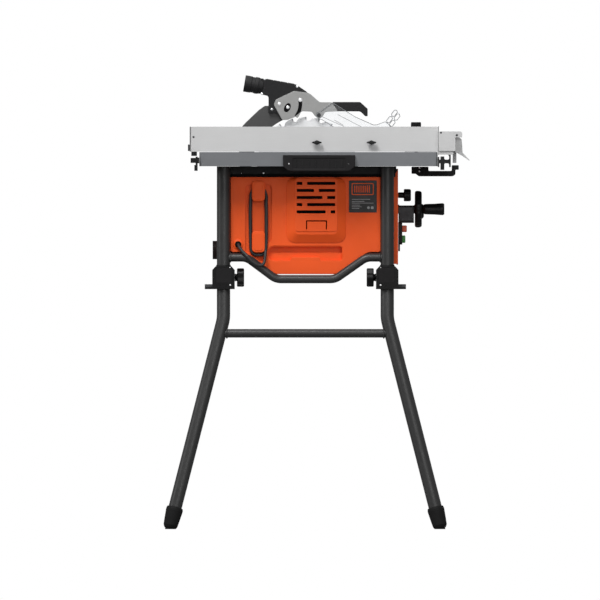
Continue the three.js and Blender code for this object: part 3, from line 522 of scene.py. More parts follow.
def weld(centre, axis, radius, bead, seed):
    """A hand-laid bead round a joint."""
    axis = Vector(axis).normalized()
    spoke = axis.orthogonal().normalized()
    points = []
    for k in range(40):
        a = 2 * pi * k / 40
        wobble = 0.35 * noise.noise(Vector((seed, k * 0.9, 0)))
        points.append(Vector(centre) + Matrix.Rotation(a, 3,
            axis) @ spoke * (radius + wobble) + axis * wobble)
    return sweep(points, lambda s: bead * (1 + 0.18 * sin(s * 40 * pi)), 10, closed=True)


def leg_frame(side, sign):
    place = Matrix.Translation((0, sign * SIDE_Y, PIVOT_Z)) @ Matrix.Rotation(radians(sign * LEG_TILT), 4,
        "X")
    shapes = []
    for i, x in enumerate(UPRIGHT_X):
        share = (LEG_BEND_Z - TUBE) / LEG_BEND_Z
        foot = (x + (FLOOR_X[i] - x) * share, 0, down(TUBE))
        shapes.append(tube([(x, 0, 0), (x, 0, down(LEG_BEND_Z)), foot], TUBE, 90, 32, domed=True))
    share = (LEG_BEND_Z - CROSSBAR_Z) / LEG_BEND_Z
    ends = [x + (f - x) * share for x, f in zip(UPRIGHT_X, FLOOR_X)]
    z = down(CROSSBAR_Z)
    shapes += [
        tube([(ends[0], 0, z), (0, 0, z), (ends[1], 0, z)], CROSSBAR, 5, 28),
        weld((ends[0] + TUBE + 1.2, 0, z), FRONT, CROSSBAR + 0.6, 1.7, 1),
        weld((ends[1] - TUBE - 1.2, 0, z), FRONT, CROSSBAR + 0.6, 1.7, 2),
    ]
    for bm in shapes:
        moved(bm, place)
    add(shapes, side + "_leg_tubes", POWDER, side + "_leg_frame")
    for i, x in enumerate(UPRIGHT_X):
        low = Vector((FLOOR_X[i], 0, down(0)))
        axis = (Vector((x, 0, down(LEG_BEND_Z))) - low).normalized()
        profile = [(-6, 0), (-6, 10), (1, 11.1), (3.5, 14.3), (9, 17.1), (22, 18.4), (42, 20), (45, 20.35),
            (48.5, 20.35), (51, 19.9), (54, 19.2), (54, 16.2), (30, 16.1), (30, 0)]
        bm = lathe(profile, low, axis, 40, 0.8)
        moved(bm, place)
        cut = bmesh.ops.bisect_plane(bm, geom=bm.verts[:] + bm.edges[:] + bm.faces[:],
            plane_co=(0, 0, 0.05), plane_no=(0, 0, 1), clear_inner=True)
        rim = [e for e in cut["geom_cut"] if isinstance(e, bmesh.types.BMEdge)]
        bmesh.ops.contextual_create(bm, geom=rim)
        name = ("front_" if i else "rear_") + side + "_foot"
        add(bm, name + "_boot", RUBBER, name)


def lock_knob(node):
    b = Box(node)
    sign = 1 if b.x < 0 else -1
    face = UPRIGHT_X[0] + 27.3 if b.x < 0 else UPRIGHT_X[1] - 27.3
    spots = [(20.8 + 2.2 * cos(5 * a), a) for a in (2 * pi * k / 90 for k in range(90))]
    lobes = [(r * cos(a), r * sin(a)) for r, a in spots]
    head = plate([lobes], 5, 22.2, 3, "x", 4)
    stem = lathe([(-14, 0), (-14, 3), (-0.2, 3), (-0.2, 8.5), (1.2, 9.8), (3, 8.2), (6.5, 9.6), (6.5, 0)],
        (0, 0, 0), FRONT, 32, 0.5)
    place = Matrix.Translation((face, b.y, LOCK_Z)) @ Matrix.Rotation(0 if sign > 0 else pi, 4, "Z")
    shapes = [moved(bm, place) for bm in (head, stem)]
    add(shapes, node + "_grip", GLOSS_BLACK, node)


def side_frame(side, sign):
    y = sign * SIDE_Y
    top = Box("left_side_frame").z1
    shapes = [tube([(x, y, 610), (x, y, 740), (x, y, top)], TUBE, 20, 32) for x in UPRIGHT_X]
    rear, front = UPRIGHT_X
    path = [(rear, CRADLE_HIGH), (-142, CRADLE_HIGH), (-72, CRADLE_LOW), (70, CRADLE_LOW),
        (144, CRADLE_HIGH), (front, CRADLE_HIGH)]
    shapes.append(tube([(x, y, z) for x, z in path], 10, 38, 28))
    for x, way in zip(UPRIGHT_X, (1, -1)):
        shapes.append(weld((x + way * (TUBE + 0.9), y, CRADLE_HIGH), FRONT, 10.4, 1.6, x))
    add(shapes, side + "_frame_tubes", POWDER, side + "_side_frame")


for side, sign in (("left", -1), ("right", 1)):
    leg_frame(side, sign)
    side_frame(side, sign)
    for end in ("rear", "front"):
        stem = end + "_" + side + "_leg"
        keep(stem + "_bracket", BRACKET, 0)
        keep(end + "_" + side + "_pivot_pin", DARK_STEEL, 1, 3, 40)
        lock_knob(stem + "_lock_knob")
        b = Box(stem + "_bracket")
        outer = b.y0 if sign < 0 else b.y1
        inward = 1 if b.x < 0 else -1
        low, high = sorted((outer - sign * 1.6, outer + sign * 0.2))
        panel = rect(*sorted((b.x + inward * 19.5, b.x - inward * 17.5)), 591, 625.5, 3.5, 5)
        add(plate([panel], low, high, 0.8, steps=3), stem + "_bracket_face", BRACKET_FACE)
        add([screw(b.x + inward * 16, outer - sign * 0.1, z, (0, sign, 0), r, 0.3)
            for z, r in ((586, 2.1), (628, 1.3))], stem + "_bracket_screws", STEEL)
        add(lathe([(-5, TUBE + 0.2), (-5, TUBE + 2.2), (3.5, TUBE + 1.4), (3.5, TUBE + 0.2)],
            (b.x, sign * SIDE_Y, b.z1), UP, 36, 0.5), stem + "_bracket_collar", BLACK)


# ---- cabinet ----

COVER = Box("left_cover")
FACE_Y = -207
BULGE_Y = COVER.y0
COVER_TOP = 845
BOOT_X, BOOT_Z = -163, 683.5  # where the cord leaves the cover
PORT_Z = 670
keep("upper_chassis", BLACK, 1)
keep("right_cover", ORANGE, 1.2)
keep("front_panel", ORANGE, 1)
keep("rear_panel", ORANGE, 0.8)
VENT_ROWS = [
    (830, [(-22, -9), (3, 70)]),
    (813, [(-22, 19), (31, 70)]),
    (796, [(-22, 39), (51, 70)]),
    (779, [(-22, -9), (3, 70)]),
    (761.5, [(-22, 47), (59.5, 70)]),
]
VENT = 3.5  # half height


def cover_outline(inset=0):
    rear, front = -181 + inset, 179 - inset
    low, bottom, top = 665 + inset, 612 + inset, COVER_TOP - inset * 0.2
    return rounded([
        (rear, low, 6), (-146, low, 30), (-75 + inset, bottom, 34), (73 - inset, bottom, 34),
        (148, low, 30), (front, low, 6), (front, top, 2), (rear, top, 2),
    ], 6, 8)


def left_cover():
    well = rounded([(-147.5, 640, 14), (-95.5, 640, 5), (-95.5, 683, 4), (-80.5, 691, 8), (-80.5, 829, 14),
        (-147.5, 829, 14)], 6, 8)
    well_floor = rounded([(-145.5, 642, 12), (-97.5, 642, 4), (-97.5, 684, 4), (-82.5, 692.4, 7),
        (-82.5, 827, 12), (-145.5, 827, 12)], 6, 8)
    store = rounded([(-92, 644, 15), (88, 644, 7), (88, 680, 7), (-92, 680, 18)], 6, 8)
    bulge_hole = rect(-42, 90, 695, 840, 20, 10)
    shapes = []

    def level(loops, near, far, edge, steps=2):
        """A plate between two depths behind the cover's face."""
        shapes.append(plate(loops, FACE_Y + near, FACE_Y + far, edge, steps=steps))

    level([cover_outline(), well, store, bulge_hole], 0, 3.5, 1.1, 3)
    level([cover_outline(0.4), cover_outline(3.4)], 1.5, COVER.y1 - FACE_Y, 0.8)
    # The bulge over the motor: a sloping skirt, then a flat face that carries the hatch.
    flat, spread = FACE_Y - BULGE_Y - 1.2, 22
    slope = rounded([(0, -1, 0), (0, 1.8, 1.5), (20, flat, 5), (spread, flat, 0)], 0, 5)
    rows = [(FACE_Y - rise, rect(-47.2 + inset, 95.6 - inset, 687.4 + inset, 844.5, 25 - inset * 0.6, 10))
        for inset, rise in slope]
    bm = bmesh.new()
    skin_rings(bm, [[bm.verts.new((u, y, v)) for u, v in loop] for y, loop in rows])
    shapes.append(bm)
    lift = rows[-1][0]
    inner = rect(-24, 72.4, 717.4, 840, 8, 8)
    shapes.append(plate([rows[-1][1], inner], lift - 0.05, lift + 2, 0.05))
    vents = [rect(a, b, z - VENT, z + VENT, 1.2, 3) for z, stretches in VENT_ROWS for a, b in stretches]
    slit = [(0.3, 719.5), (0.3, 741), (50.3, 741), (50.3, 719.5), (47.8, 719.5), (47.8, 738.4),
        (2.8, 738.4), (2.8, 719.5)]
    hatch = plate([rect(-27, 75.4, 714.4, 842, 9, 8), slit] + vents, lift - 1.8, lift + 2.6, 0.9, steps=3)
    shapes.append(hatch)
    # Well for the wrapped cord: walls, floor and its raised lip.
    level([well, well_floor], 1, 9, 0.4)
    level([well], 7, 9.5, 0.4)
    # Storage recess under the bulge, with a sloping tray and a raised tab at its front.
    wall = rounded([(-90.5, 645.5, 14), (86.5, 645.5, 6), (86.5, 678.5, 6), (-90.5, 678.5, 17)], 6, 8)
    level([store, wall], 1, 19, 0.3)
    level([store], 17.5, 19.5, 0.3)
    step = rounded([(-91, 643.5, 14), (87, 643.5, 6), (87, 664, 2), (-91, 664, 5)], 2, 8)
    level([step], 12.5, 18.5, 1.6, 3)
    tab = rounded([(-39, 643, 0), (37, 643, 0), (31.8, 652.8, 2), (-33.8, 652.8, 2)], 2, 3)
    level([tab], 0, 14, 0.9, 3)
    # The two hooks the cord wraps round.
    for z0, z1 in ((786.8, 836), (664, 716)):
        level([rect(-129.8, -98.5, z0, z1, 10, 8)], -9, -3.6, 2.4, 5)
        level([rect(-125.5, -103, z0 + 4.5, z1 - 4.5, 8, 8)], -9.9, -8, 0.9, 4)
        mid = (z0 + z1) / 2
        level([rect(-122, -107, mid - 17, mid + 17, 5, 6)], -6, 8.5, 1.2, 3)
    relief = [(0, 0), (0, 12.6), (1.6, 12.4), (2.6, 10.6), (3.4, 8.4), (3.4, 0)]
    shapes.append(lathe(relief, (BOOT_X, FACE_Y + 0.6, BOOT_Z), LEFT, 40, 0.7))
    add(shapes, "left_cover_shell", ORANGE, "left_cover")
    # Painted shade: near-black sheets behind the hatch's vents and in the gaps along the cover's ends and
    # top; the boot the cord leaves through is the same black.
    cover_shade_sheets = [pad((-34, 82, 704, 842, 10, 6), -206, -204, 0.3)]
    cover_shade_sheets += [block(x0, x1, -203, -196, 660, 846, 0.5) for x0, x1 in ((-190, -180.6), (178.6, 188))]
    cover_shade_sheets.append(block(-182, 180, -203, -198, 838, 852, 0.5))
    boot = [(0, 0), (0, 7.6), (2.6, 7.6), (3.8, 6.2), (4.6, 4.6), (4.6, 0)]
    cover_shade_sheets.append(lathe(boot, (BOOT_X, FACE_Y - 2.6, BOOT_Z), LEFT, 32, 0.4))
    add(cover_shade_sheets, "left_cover_painted_shade", SHADE_BLACK)


def nameplate():
    """A plain rating plate: a dark panel, an empty orange frame and blank bars."""
    y = FACE_Y
    add(pad((103, 170, 760, 837, 3, 5), y - 1.2, y + 0.5, 0.4), "cover_plaque", PLAQUE)
    frame_bars = plate([rect(109.5, 162.5, 802, 830.5, 3.5, 5), rect(111.5, 160.5, 804, 828.5, 2.2, 5)],
        y - 1.7, y - 0.6, 0.25)
    ribs = [block(x, x + 2.2, y - 1.6, y - 0.6, 808, 824.5, 0.25) for x in range(116, 156, 5)]
    add([frame_bars] + ribs, "cover_plaque_frame", ORANGE)
    bars = [block(110, 110 + w, y - 1.45, y - 0.6, z, z + 1.3, 0.2) for z, w in ((791, 44), (786, 30),
        (782, 52), (777, 20), (773, 24), (769, 18))]
    bars.append(lathe(drum(3.2, 0.5), (150, y - 1, 771.5), LEFT, 24, 0.1))
    bars.append(block(156, 162, y - 1.45, y - 0.6, 768.5, 774.5, 0.2))
    add(bars, "cover_plaque_bars", PALE)


def cord():
    """The lead leaves its boot, passes over the cradle tube and wraps round the two hooks."""
    r = 3.5
    y = FACE_Y - 1.6
    path = [(BOOT_X, FACE_Y - 6.4, BOOT_Z), (-161, FACE_Y - 13, 678), (-152, -228, 666),
        (-141, -233.2, 655), (-130, -234, 643), (-116, -234, 634), (-104, -233, 633), (-99.5, -229, 642),
        (-98, -219, 655), (-97, y - 4, 668), (-95, y - 3, 690), (-94.6, y - 2, 760), (-95, y - 1, 800),
        (-99, y, 812), (-104, y + 1, 818)]
    shapes = [tube(path, lambda share: r + 1.1 * exp(-((share - 0.24) / 0.1) ** 2), 14, 16)]
    for k in range(2):
        depth = y + 0.8 + 3.4 * k
        left, right = -133.6 + 1.4 * k, -95 - 1.6 * k
        loop = [(left + 13, 819), (left + 4, 812), (left + 1, 802), (left - 0.8, 760), (left - 0.2, 716),
            (left + 1, 668), (left + 10, 658), (right - 10, 658), (right - 1, 668), (right + 0.4, 716),
            (right + 0.6, 760), (right - 1, 802), (right - 4, 812), (right - 13, 819)]
        curve = rounded([(u, v, 12) for u, v in loop], 12, 6)
        shapes.append(sweep([Vector((u, depth, v)) for u, v in curve], r, 14, closed=True))
    add(shapes, "power_cord_run", CORD, "power_cord")


left_cover()
nameplate()
cord()
add([screw(x, Box("upper_chassis").y0, 854.5, LEFT, r, 0.4) for x, r in ((-102, 2.1), (-155, 0.8))],
    "chassis_screws", STEEL)


def panel_trim():
    """The folded side edges of the front panel, its black top corners and the rear port's sleeve."""
    for name, y0, y1 in (("left", -198.35, -197.6), ("right", 197.6, 198.35)):
        edge = [(209.6, 636.4, 0), (220.9, 636.4, 4), (220.9, 857, 3), (218.5, 864, 3), (209.6, 864, 0)]
        add(plate([rounded(edge, 0, 4)], y0, y1, 0.3), "front_panel_" + name + "_edge", ORANGE)
        corner = rounded([(209.6, 846), (209.6, 864.4), (219, 864.4), (219.6, 861)], 0.6, 3)
        low, high = sorted((y1 if y1 > 0 else y0, (y1 if y1 > 0 else y0) * 1.002))
        add(plate([corner], low, high, 0.1), "front_panel_" + name + "_corner", BLACK)
    port = Box("rear_panel")
    sleeve = [(0, 18.6), (0, 21.9), (1.2, 22.1), (12.2, 22.1), (12.2, 18.6)]
    add(lathe(sleeve, (port.x0 - 0.1, 0, PORT_Z), FRONT, 56), "rear_port_sleeve", BLACK)


panel_trim()
# Painted shade: a near-black sheet behind the right cover's vents and a near-black disc inside the rear port.
inside = [pad((-78, 98, 745, 842, 8, 5), 199, 201, 0.3)]
inside.append(lathe(drum(18.2, 1.5), (Box("rear_panel").x0 + 11, 0, PORT_Z), FRONT, 40))
add(inside, "cabinet_painted_shade", SHADE_BLACK)

# ---- table ----

keep("table_top", TABLE, 0.9)
keep("extension_wing", TABLE, 0.9)
keep("throat_plate", THROAT, 0.3)
keep("rear_rail", ANODISED, 0.6)


def front_rail():
    """The extruded rail the fence and the wing's lever hook on."""
    b = Box("front_rail")
    left, right = b.x0, b.x1
    side = [(left, 869), (left, 893.4), (left + 3.6, 893.4), (left + 3.6, 887, 3), (322.6, 887, 1),
        (322.6, 894.6, 1), (332, 894.6, 1), (332, 887, 3), (right - 4, 887, 5), (right - 4, 894.4, 2),
        (right - 6.4, 898.6, 0.8), (right, 898.6, 0.8), (right, 868.8, 0.8), (right - 4, 868.8, 0.8),
        (right - 4, 878, 5), (332, 878, 3), (332, 862.2, 1), (322.6, 862.2, 1), (322.6, 878, 1),
        (left + 3.6, 878, 3), (left + 3.6, 869)]
    add(plate([rounded(side, 0.6, 4)], b.y0, b.y1, 0.4), "front_rail_extrusion", ANODISED, "front_rail")


def extension_lever():
    b = Box("extension_lock_lever")
    side = [(253.2, 870, 2), (253.2, 852.8, 2), (263, 852.8, 4), (271, 846.8, 4), (352, 846.8, 8),
        (358.7, 851, 8), (358.7, 862.6, 2), (366.6, 862.6, 1.5), (366.6, 873.6, 2), (349.7, 873.6, 2),
        (349.7, 859.8, 3), (294, 859.8, 3), (294, 870, 2)]
    add(plate([rounded(side, 2, 5)], b.y0, b.y1, 1.4, steps=4), "extension_lever_grip", BLACK,
        "extension_lock_lever")
    add([screw(272, b.y0 + 0.2, z, LEFT, r, 0.5) for z, r in ((867.4, 2.2), (858.6, 2.2))],
        "extension_lever_screws", STEEL, body="extension_lock_lever")


front_rail()
extension_lever()


def table_handle():
    """The ribbed black handle under the table's left edge."""
    b = Box("left_table_handle")
    body = rounded([(b.x0, b.z1, 1.5), (b.x0, b.z0 + 12, 8), (b.x0 + 12, b.z0 + 1, 12),
        (b.x0 + 30, b.z0, 20), (b.x1 - 30, b.z0, 20), (b.x1 - 12, b.z0 + 1, 12), (b.x1, b.z0 + 12, 8),
        (b.x1, b.z1, 1.5)], 4, 6)
    grip = rect(b.x0 + 24, b.x1 - 24, b.z0 + 6, b.z0 + 31, 3, 5)
    shapes = [
        plate([body, grip], b.y0, b.y1, 1.6, steps=4),
        pad((b.x0 + 22, b.x1 - 22, b.z0 + 4, b.z0 + 33, 3, 4), b.y0 + 1.6, b.y1 - 1, 0.5),
    ]
    middles = [-24 + k * 15.7 for k in range(8)]
    ribs = [pad((x - 1.1, x + 1.1, b.z0 + 9, b.z0 + 28, 0.8, 2), b.y0 - 0.15, b.y0 + 3, 0.1)
        for x in middles]
    add(shapes, "table_handle_grip", BRACKET_FACE, "left_table_handle")
    add(ribs, "table_handle_ribs", GLOSS_BLACK)
    add([screw(x, b.y0 + 0.6, b.z0 + 18, LEFT, 2.7, 0.6) for x in (b.x0 + 14, b.x1 - 16)],
        "table_handle_screws", STEEL)


table_handle()


def rail_scale():
    """Ruled ticks on the front rail, every 5 mm, longer at 10 and 50."""
    b = Box("front_rail")
    ticks = []
    for k in range(112):
        y = b.y0 + 20 + k * 5
        long = 7 if k % 10 == 0 else 5 if k % 2 == 0 else 3
        ticks.append(pad((b.x1 - 2.5 - long, b.x1 - 2.5, y - 0.3, y + 0.3, 0.01, 1), b.z1 - 0.1,
            b.z1 + 0.05, 0.01, "z", 0))
    add(ticks, "front_rail_scale", PALE, slot="black_aluminium")


rail_scale()

# ---- rip fence ----

keep("fence_body", FENCE, 0.5)


def fence_parts():
    f = Box("fence_body")
    h = Box("fence_head")
    ends = [
        pad((f.y0 - 0.3, f.y1, 898.5, f.z1 + 0.8, 1.2, 3), f.x1 - 0.8, f.x1 + 1, 0.3, "x"),
        pad((f.y0 - 0.3, f.y1, 906.2, f.z1, 1.2, 3), -279.2, -276.1, 0.3, "x"),
    ]
    hook = [pad((-283.3, -279.3, 907.6, 923.3, 1, 3), f.y0 + 17.6, f.y1 - 17.6, 0.4)]
    hook.append(pad((-275.3, -261.7, 895.7, 905.7, 1, 3), f.y0 + 14.6, f.y1 - 14.6, 0.4))
    add(hook, "fence_rear_hook", DARK_STEEL, body="fence")
    add(ends, "fence_end_plates", FENCE_EDGE, body="fence")
    add([screw(-270, f.y0 + 0.1, 941, LEFT, 2.6, 0.3)], "fence_end_screw", DARK_STEEL, body="fence")
    side = [(h.x0, 955, 1.5), (h.x0, 907.2, 1), (357.2, 907.2, 0.8), (357.2, 940.4, 1.5),
        (h.x1 - 0.6, 940.4, 1), (h.x1, 955, 13)]
    cheeks = [plate([rounded(side, 2, 8)], y0, y1, 0.7, steps=3) for y0, y1 in ((h.y0, -254.5),
        (-219.5, h.y1))]
    top = [(h.x0, 955, 1.5), (h.x0, 907.2, 1), (356.5, 907.2, 1), (356.5, 949, 1), (373.3, 949, 0.3),
        (371.5, 951.5, 0), (368.6, 953.7, 0), (363, 955, 0)]
    shapes = cheeks + [plate([rounded(top, 2, 8)], -256, -218, 0.6)]
    shapes += [
        pad((h.x0, 354, 899.2, 907.4, 1, 3), h.y0 + 3, h.y1 - 3, 0.7),
        pad((352, 361, h.z0, 908, 1.2, 3), -217, -197, 0.9),
        pad((318.4, 330, 910, 952, 1, 2), f.y0 + 3, f.y1 - 3, 0.5),
    ]
    add(shapes, "fence_head_casting", FENCE, "fence_head")
    add([screw(324, h.y0 + 0.1, 951.5, LEFT, 2.5, 0.3), screw(362, h.y0 + 0.1, 945.5, LEFT, 2.8, 0.3)],
        "fence_head_pins", DARK_STEEL, body="fence")
    v = Box("fence_lever")
    side = [(357.9, 940), (368.5, 940), (373.6, 935.5), (374.6, 925), (375.8, 903.4), (392.6, 886),
        (391.6, 884.4), (374, 896.6), (363, 902.6), (357.9, 904)]
    shapes = [plate([rounded(side, 1.2, 3)], v.y0, v.y1, 0.6, steps=3)]
    shapes.append(lathe(drum(4.2, v.y1 - v.y0), (362, v.y0, 943), RIGHT, 24, 0.4))
    add(shapes, "fence_lever_plate", LEVER_GREY, "fence_lever")


def wing_knob(node):
    b = Box(node)
    wings = rounded([(b.x - 11.5, 926.6, 1.3), (b.x - 6, 925, 3), (b.x, 922.4, 3), (b.x + 6, 925, 3),
        (b.x + 11.5, 926.6, 1.3), (b.x + 11.5, 929.4, 1.3), (b.x + 6, 931, 3), (b.x, 933.6, 3),
        (b.x - 6, 931, 3), (b.x - 11.5, 929.4, 1.3)], 2, 4)
    hub = lathe([(0, 0), (0, 4.6), (9, 4.6), (13, 3.9), (15.2, 2.6), (15.2, 0)], (b.x, b.y0 + 15.7, 928),
        LEFT, 32, 0.8)
    stud = lathe(drum(2.2, 12), (b.x, b.y0 + 15, 928), RIGHT, 16)
    add([plate([wings], b.y0, b.y0 + 10, 1.2, steps=3), hub, stud], node + "_grip", GLOSS_BLACK, node)


fence_parts()
wing_knob("rear_wing_knob")
wing_knob("front_wing_knob")

# ---- mitre gauge ----

keep("miter_bar", PLATED, 0.5)
keep("miter_head", BLACK, 0.8)


def miter_parts():
    b = Box("miter_knob")
    knurl = lambda a, along: 1 + (0.045 * cos(18 * a) if 3 < along < 22 else 0)
    profile = [(-54, 0), (-54, 3.7), (0.3, 3.7), (0.3, 8), (3.5, 10.6), (5.5, 11.4), (20.5, 11.8),
        (23.8, 11.8), (24.65, 11), (24.65, 0)]
    add(lathe(profile, (b.x, b.y, 952.3), UP, 90, 0.9, knurl), "miter_knob_grip", GLOSS_BLACK, "miter_knob")
    ticks = []
    for k in range(-12, 13):
        a = radians(k * 5)
        long = 5 if k % 3 == 0 else 3
        mark = pad((61.2 - long, 61.2, -0.22, 0.22, 0.05, 1), Box("miter_head").z0 + 7.5,
            Box("miter_head").z0 + 7.72, 0.05, "z", 0)
        moved(mark, Matrix.Translation((250, b.y, 0)) @ Matrix.Rotation(a, 4, "Z"))
        ticks.append(mark)
    add(ticks, "miter_scale", PALE, body="miter_head")


miter_parts()

# ---- guard ----


def riving_knife():
    inner = [(131 * cos(a), ARBOR_Z + 131 * sin(a)) for a in (radians(212 - 98 * i / 36)
        for i in range(37))]
    outer = [(-55, 1012), (-80, 1016.5), (-99, 1016), (-113, 1006.2), (-131, 989), (-144, 976.6),
        (-153, 967), (-158, 940), (-161, 900), (-159, 860), (-150, 812), (-142, 794)]
    loop = rounded([(*p, 0) for p in inner] + [(*p, 5) for p in outer], 3, 5)
    holes = [ring(-137, 818, 3.2), ring(-137, 838, 3.2)]
    add(plate([loop] + holes, -1.1, 1.1, 0.35), "riving_knife_plate", KNIFE, "riving_knife")


def dust_hood():
    body = rounded([(-90, 999, 2), (-65, 999, 3), (-40, 1020, 8), (3, 1030, 3), (3, 1049, 3),
        (-24, 1067.5, 10), (-98, 1081, 3), (-107, 1082, 2), (-109.5, 1044, 2), (-92.5, 1040, 3),
        (-90, 1036, 3)], 3, 5)
    shapes = [plate([body], -13.5, -1.7, 1.1, steps=3), plate([body], 1.7, 13.5, 1.1, steps=3)]
    seam = [(u * 0.995 - 0.4, 1037 + (v - 1037) * 0.985) for u, v in body]
    shapes.append(plate([seam], -1.8, 1.8, 0.1))
    # A low flange along the top, in short lengths, where the two shells meet.
    for k in range(4):
        p, q = (Vector((-94, 1080.6)).lerp(Vector((-27, 1068.6)), (k + share) / 4) for share in (0, 0.9))
        flange = [(p.x, p.y - 3), (q.x, q.y - 3), (q.x, q.y + 0.3), (p.x, p.y + 0.3)]
        shapes.append(plate([flange], -5.5, 5.5, 0.3))
    start, end = Vector((-107.5, 0, 1063)), Vector((-148, 0, 1070))
    axis = (end - start).normalized()
    profile = [(-4, 0), (-4, 17.6), (3, 18.6), (6, 19.2), (8, 20), (15, 20), (17, 18.8), (23, 18.8),
        (25, 19.9), (38, 20), (41, 20), (41, 16.6), (38, 15.8), (2, 15.4), (2, 0)]
    shapes.append(lathe(profile, start, axis, 56, 0.8))
    add(shapes, "dust_hood_shell", BLACK, "dust_hood")
    # Painted shade: a near-black disc inside the dust port.
    add(lathe([(1, 0), (1, 15.6), (4, 15.6), (4, 0)], start, axis, 40), "dust_hood_port_shade", SHADE_BLACK,
        body="carriage")
    heads = [screw(x, -13.3, z, LEFT, r, 1.4) for x, z, r in ((-82, 1008, 2.8), (-99, 1081, 3),
        (-106, 1045, 2.8), (-21, 1062.5, 3))]
    heads += [screw(x, 13.3, z, RIGHT, r, 1.4) for x, z, r in ((-82, 1008, 2.8), (-99, 1079, 2.8),
        (-21, 1061, 2.8))]
    add(heads, "dust_hood_screws", STEEL, body="carriage")


GUARD_PIVOT = (-64, 1021)
SHEET_PIVOT = (31, 994)


def guard_arm():
    a = Box("guard_arm")
    outline = rounded([(-77.5, 1019, 10), (-72.5, 1031, 8), (-29, 1051.6, 10), (4, 1047.6, 8),
        (11, 1044, 4), (32.5, 1025, 8), (62, 1024.6, 2), (77, 1003, 3), (46, 1001.5, 8), (41, 992, 8),
        (31, 984, 9), (21, 992, 8), (14, 1002, 8), (-9, 1003, 6), (-27, 989, 8), (-44, 982.4, 8),
        (-57, 981.6, 7)], 6, 6)
    px, pz = GUARD_PIVOT
    start, end = degrees(atan2(10, 49.5)), degrees(atan2(-31, 40))
    window = rounded([(*p, 1.5) for p in arc(px, pz, 54.8, start, end, 14)] + [(*p, 1.5)
        for p in arc(px, pz, 46.4, end, start, 14)], 1.5, 3)
    lean = Matrix.Rotation(-0.45, 2)
    spokes = [lean @ Vector((7.2 * cos(t), 11.5 * sin(t))) for t in (2 * pi * k / 36 for k in range(36))]
    oval = [(-44.7 + spoke.x, 1011.3 + spoke.y) for spoke in spokes]
    shapes = []
    for y0, y1 in ((a.y0, a.y0 + 3), (a.y1 - 3, a.y1)):
        shapes.append(plate([outline, window, oval, ring(*SHEET_PIVOT, 3.2)], y0, y1, 0.8, steps=3))
    shapes.append(pad((11, 20, 1022, 1034, 2, 3), a.y0 + 1, a.y1 - 1, 0.5))
    for y in (a.y0, a.y1):
        way = -1 if y < 0 else 1
        boss = lathe([(0, 0), (0, 8), (0.5, 7.6), (0.5, 0)], (px, y - way * 0.2, pz), (0, way, 0), 36, 0.2)
        shapes.append(boss)
    add(shapes, "guard_arm_plates", GREY, "guard_arm")
    # Painted shade: near-black sheets just inside the oval and the window, for the shade seen through them.
    arm_shade_sheets = [plate([oval], y, y + 1, 0.2) for y in (a.y0 + 0.8, a.y1 - 1.8)]
    arm_shade_sheets += [plate([window], y, y + 0.8, 0.1) for y in (a.y0 + 1.5, a.y1 - 2.3)]
    add(arm_shade_sheets, "guard_arm_painted_shade", SHADE_BLACK, body="guard")
    heads = []
    for y, way in ((a.y0, -1), (a.y1, 1)):
        heads += [
            screw(px, y + way * 0.3, pz, (0, way, 0), 4.2, 1.2),
            screw(-43.5, y - way * 0.8, 1012.5, (0, way, 0), 4, 1.3),
            screw(-13.7, y - way * 0.2, 1030, (0, way, 0), 4.8, 1.4),
        ]
    add(heads, "guard_arm_screws", STEEL, body="guard")
    long = 2 * a.y1 + 5.6
    pin = lathe([(0, 0), (0, 4.6), (1, 4.6), (1, 2.9), (long - 1, 2.9), (long - 1, 4.6), (long, 4.6),
        (long, 0)], (SHEET_PIVOT[0], -a.y1 - 2.8, SHEET_PIVOT[1]), RIGHT, 28, 0.2)
    add(pin, "guard_sheet_pin", DARK_STEEL, body="guard")
    h = Box("guard_handle")
    grip = rounded([(63, 1003, 1), (57, 1009, 3), (64, 1025.3, 3), (130, 1025.3, 7), (148, 1009, 3),
        (148, 991, 1.6), (142, 991, 1.6), (132, 1001, 6), (128, 1002.5, 6)], 3, 6)
    add(plate([grip], h.y0, h.y1, 2.2, steps=4), "guard_handle_grip", BLACK, "guard_handle")


def bead(loop, y, radius):
    """A fine bead along a closed outline at one depth."""
    return sweep([Vector((u, y, v)) for u, v in loop], radius, 8, closed=True)


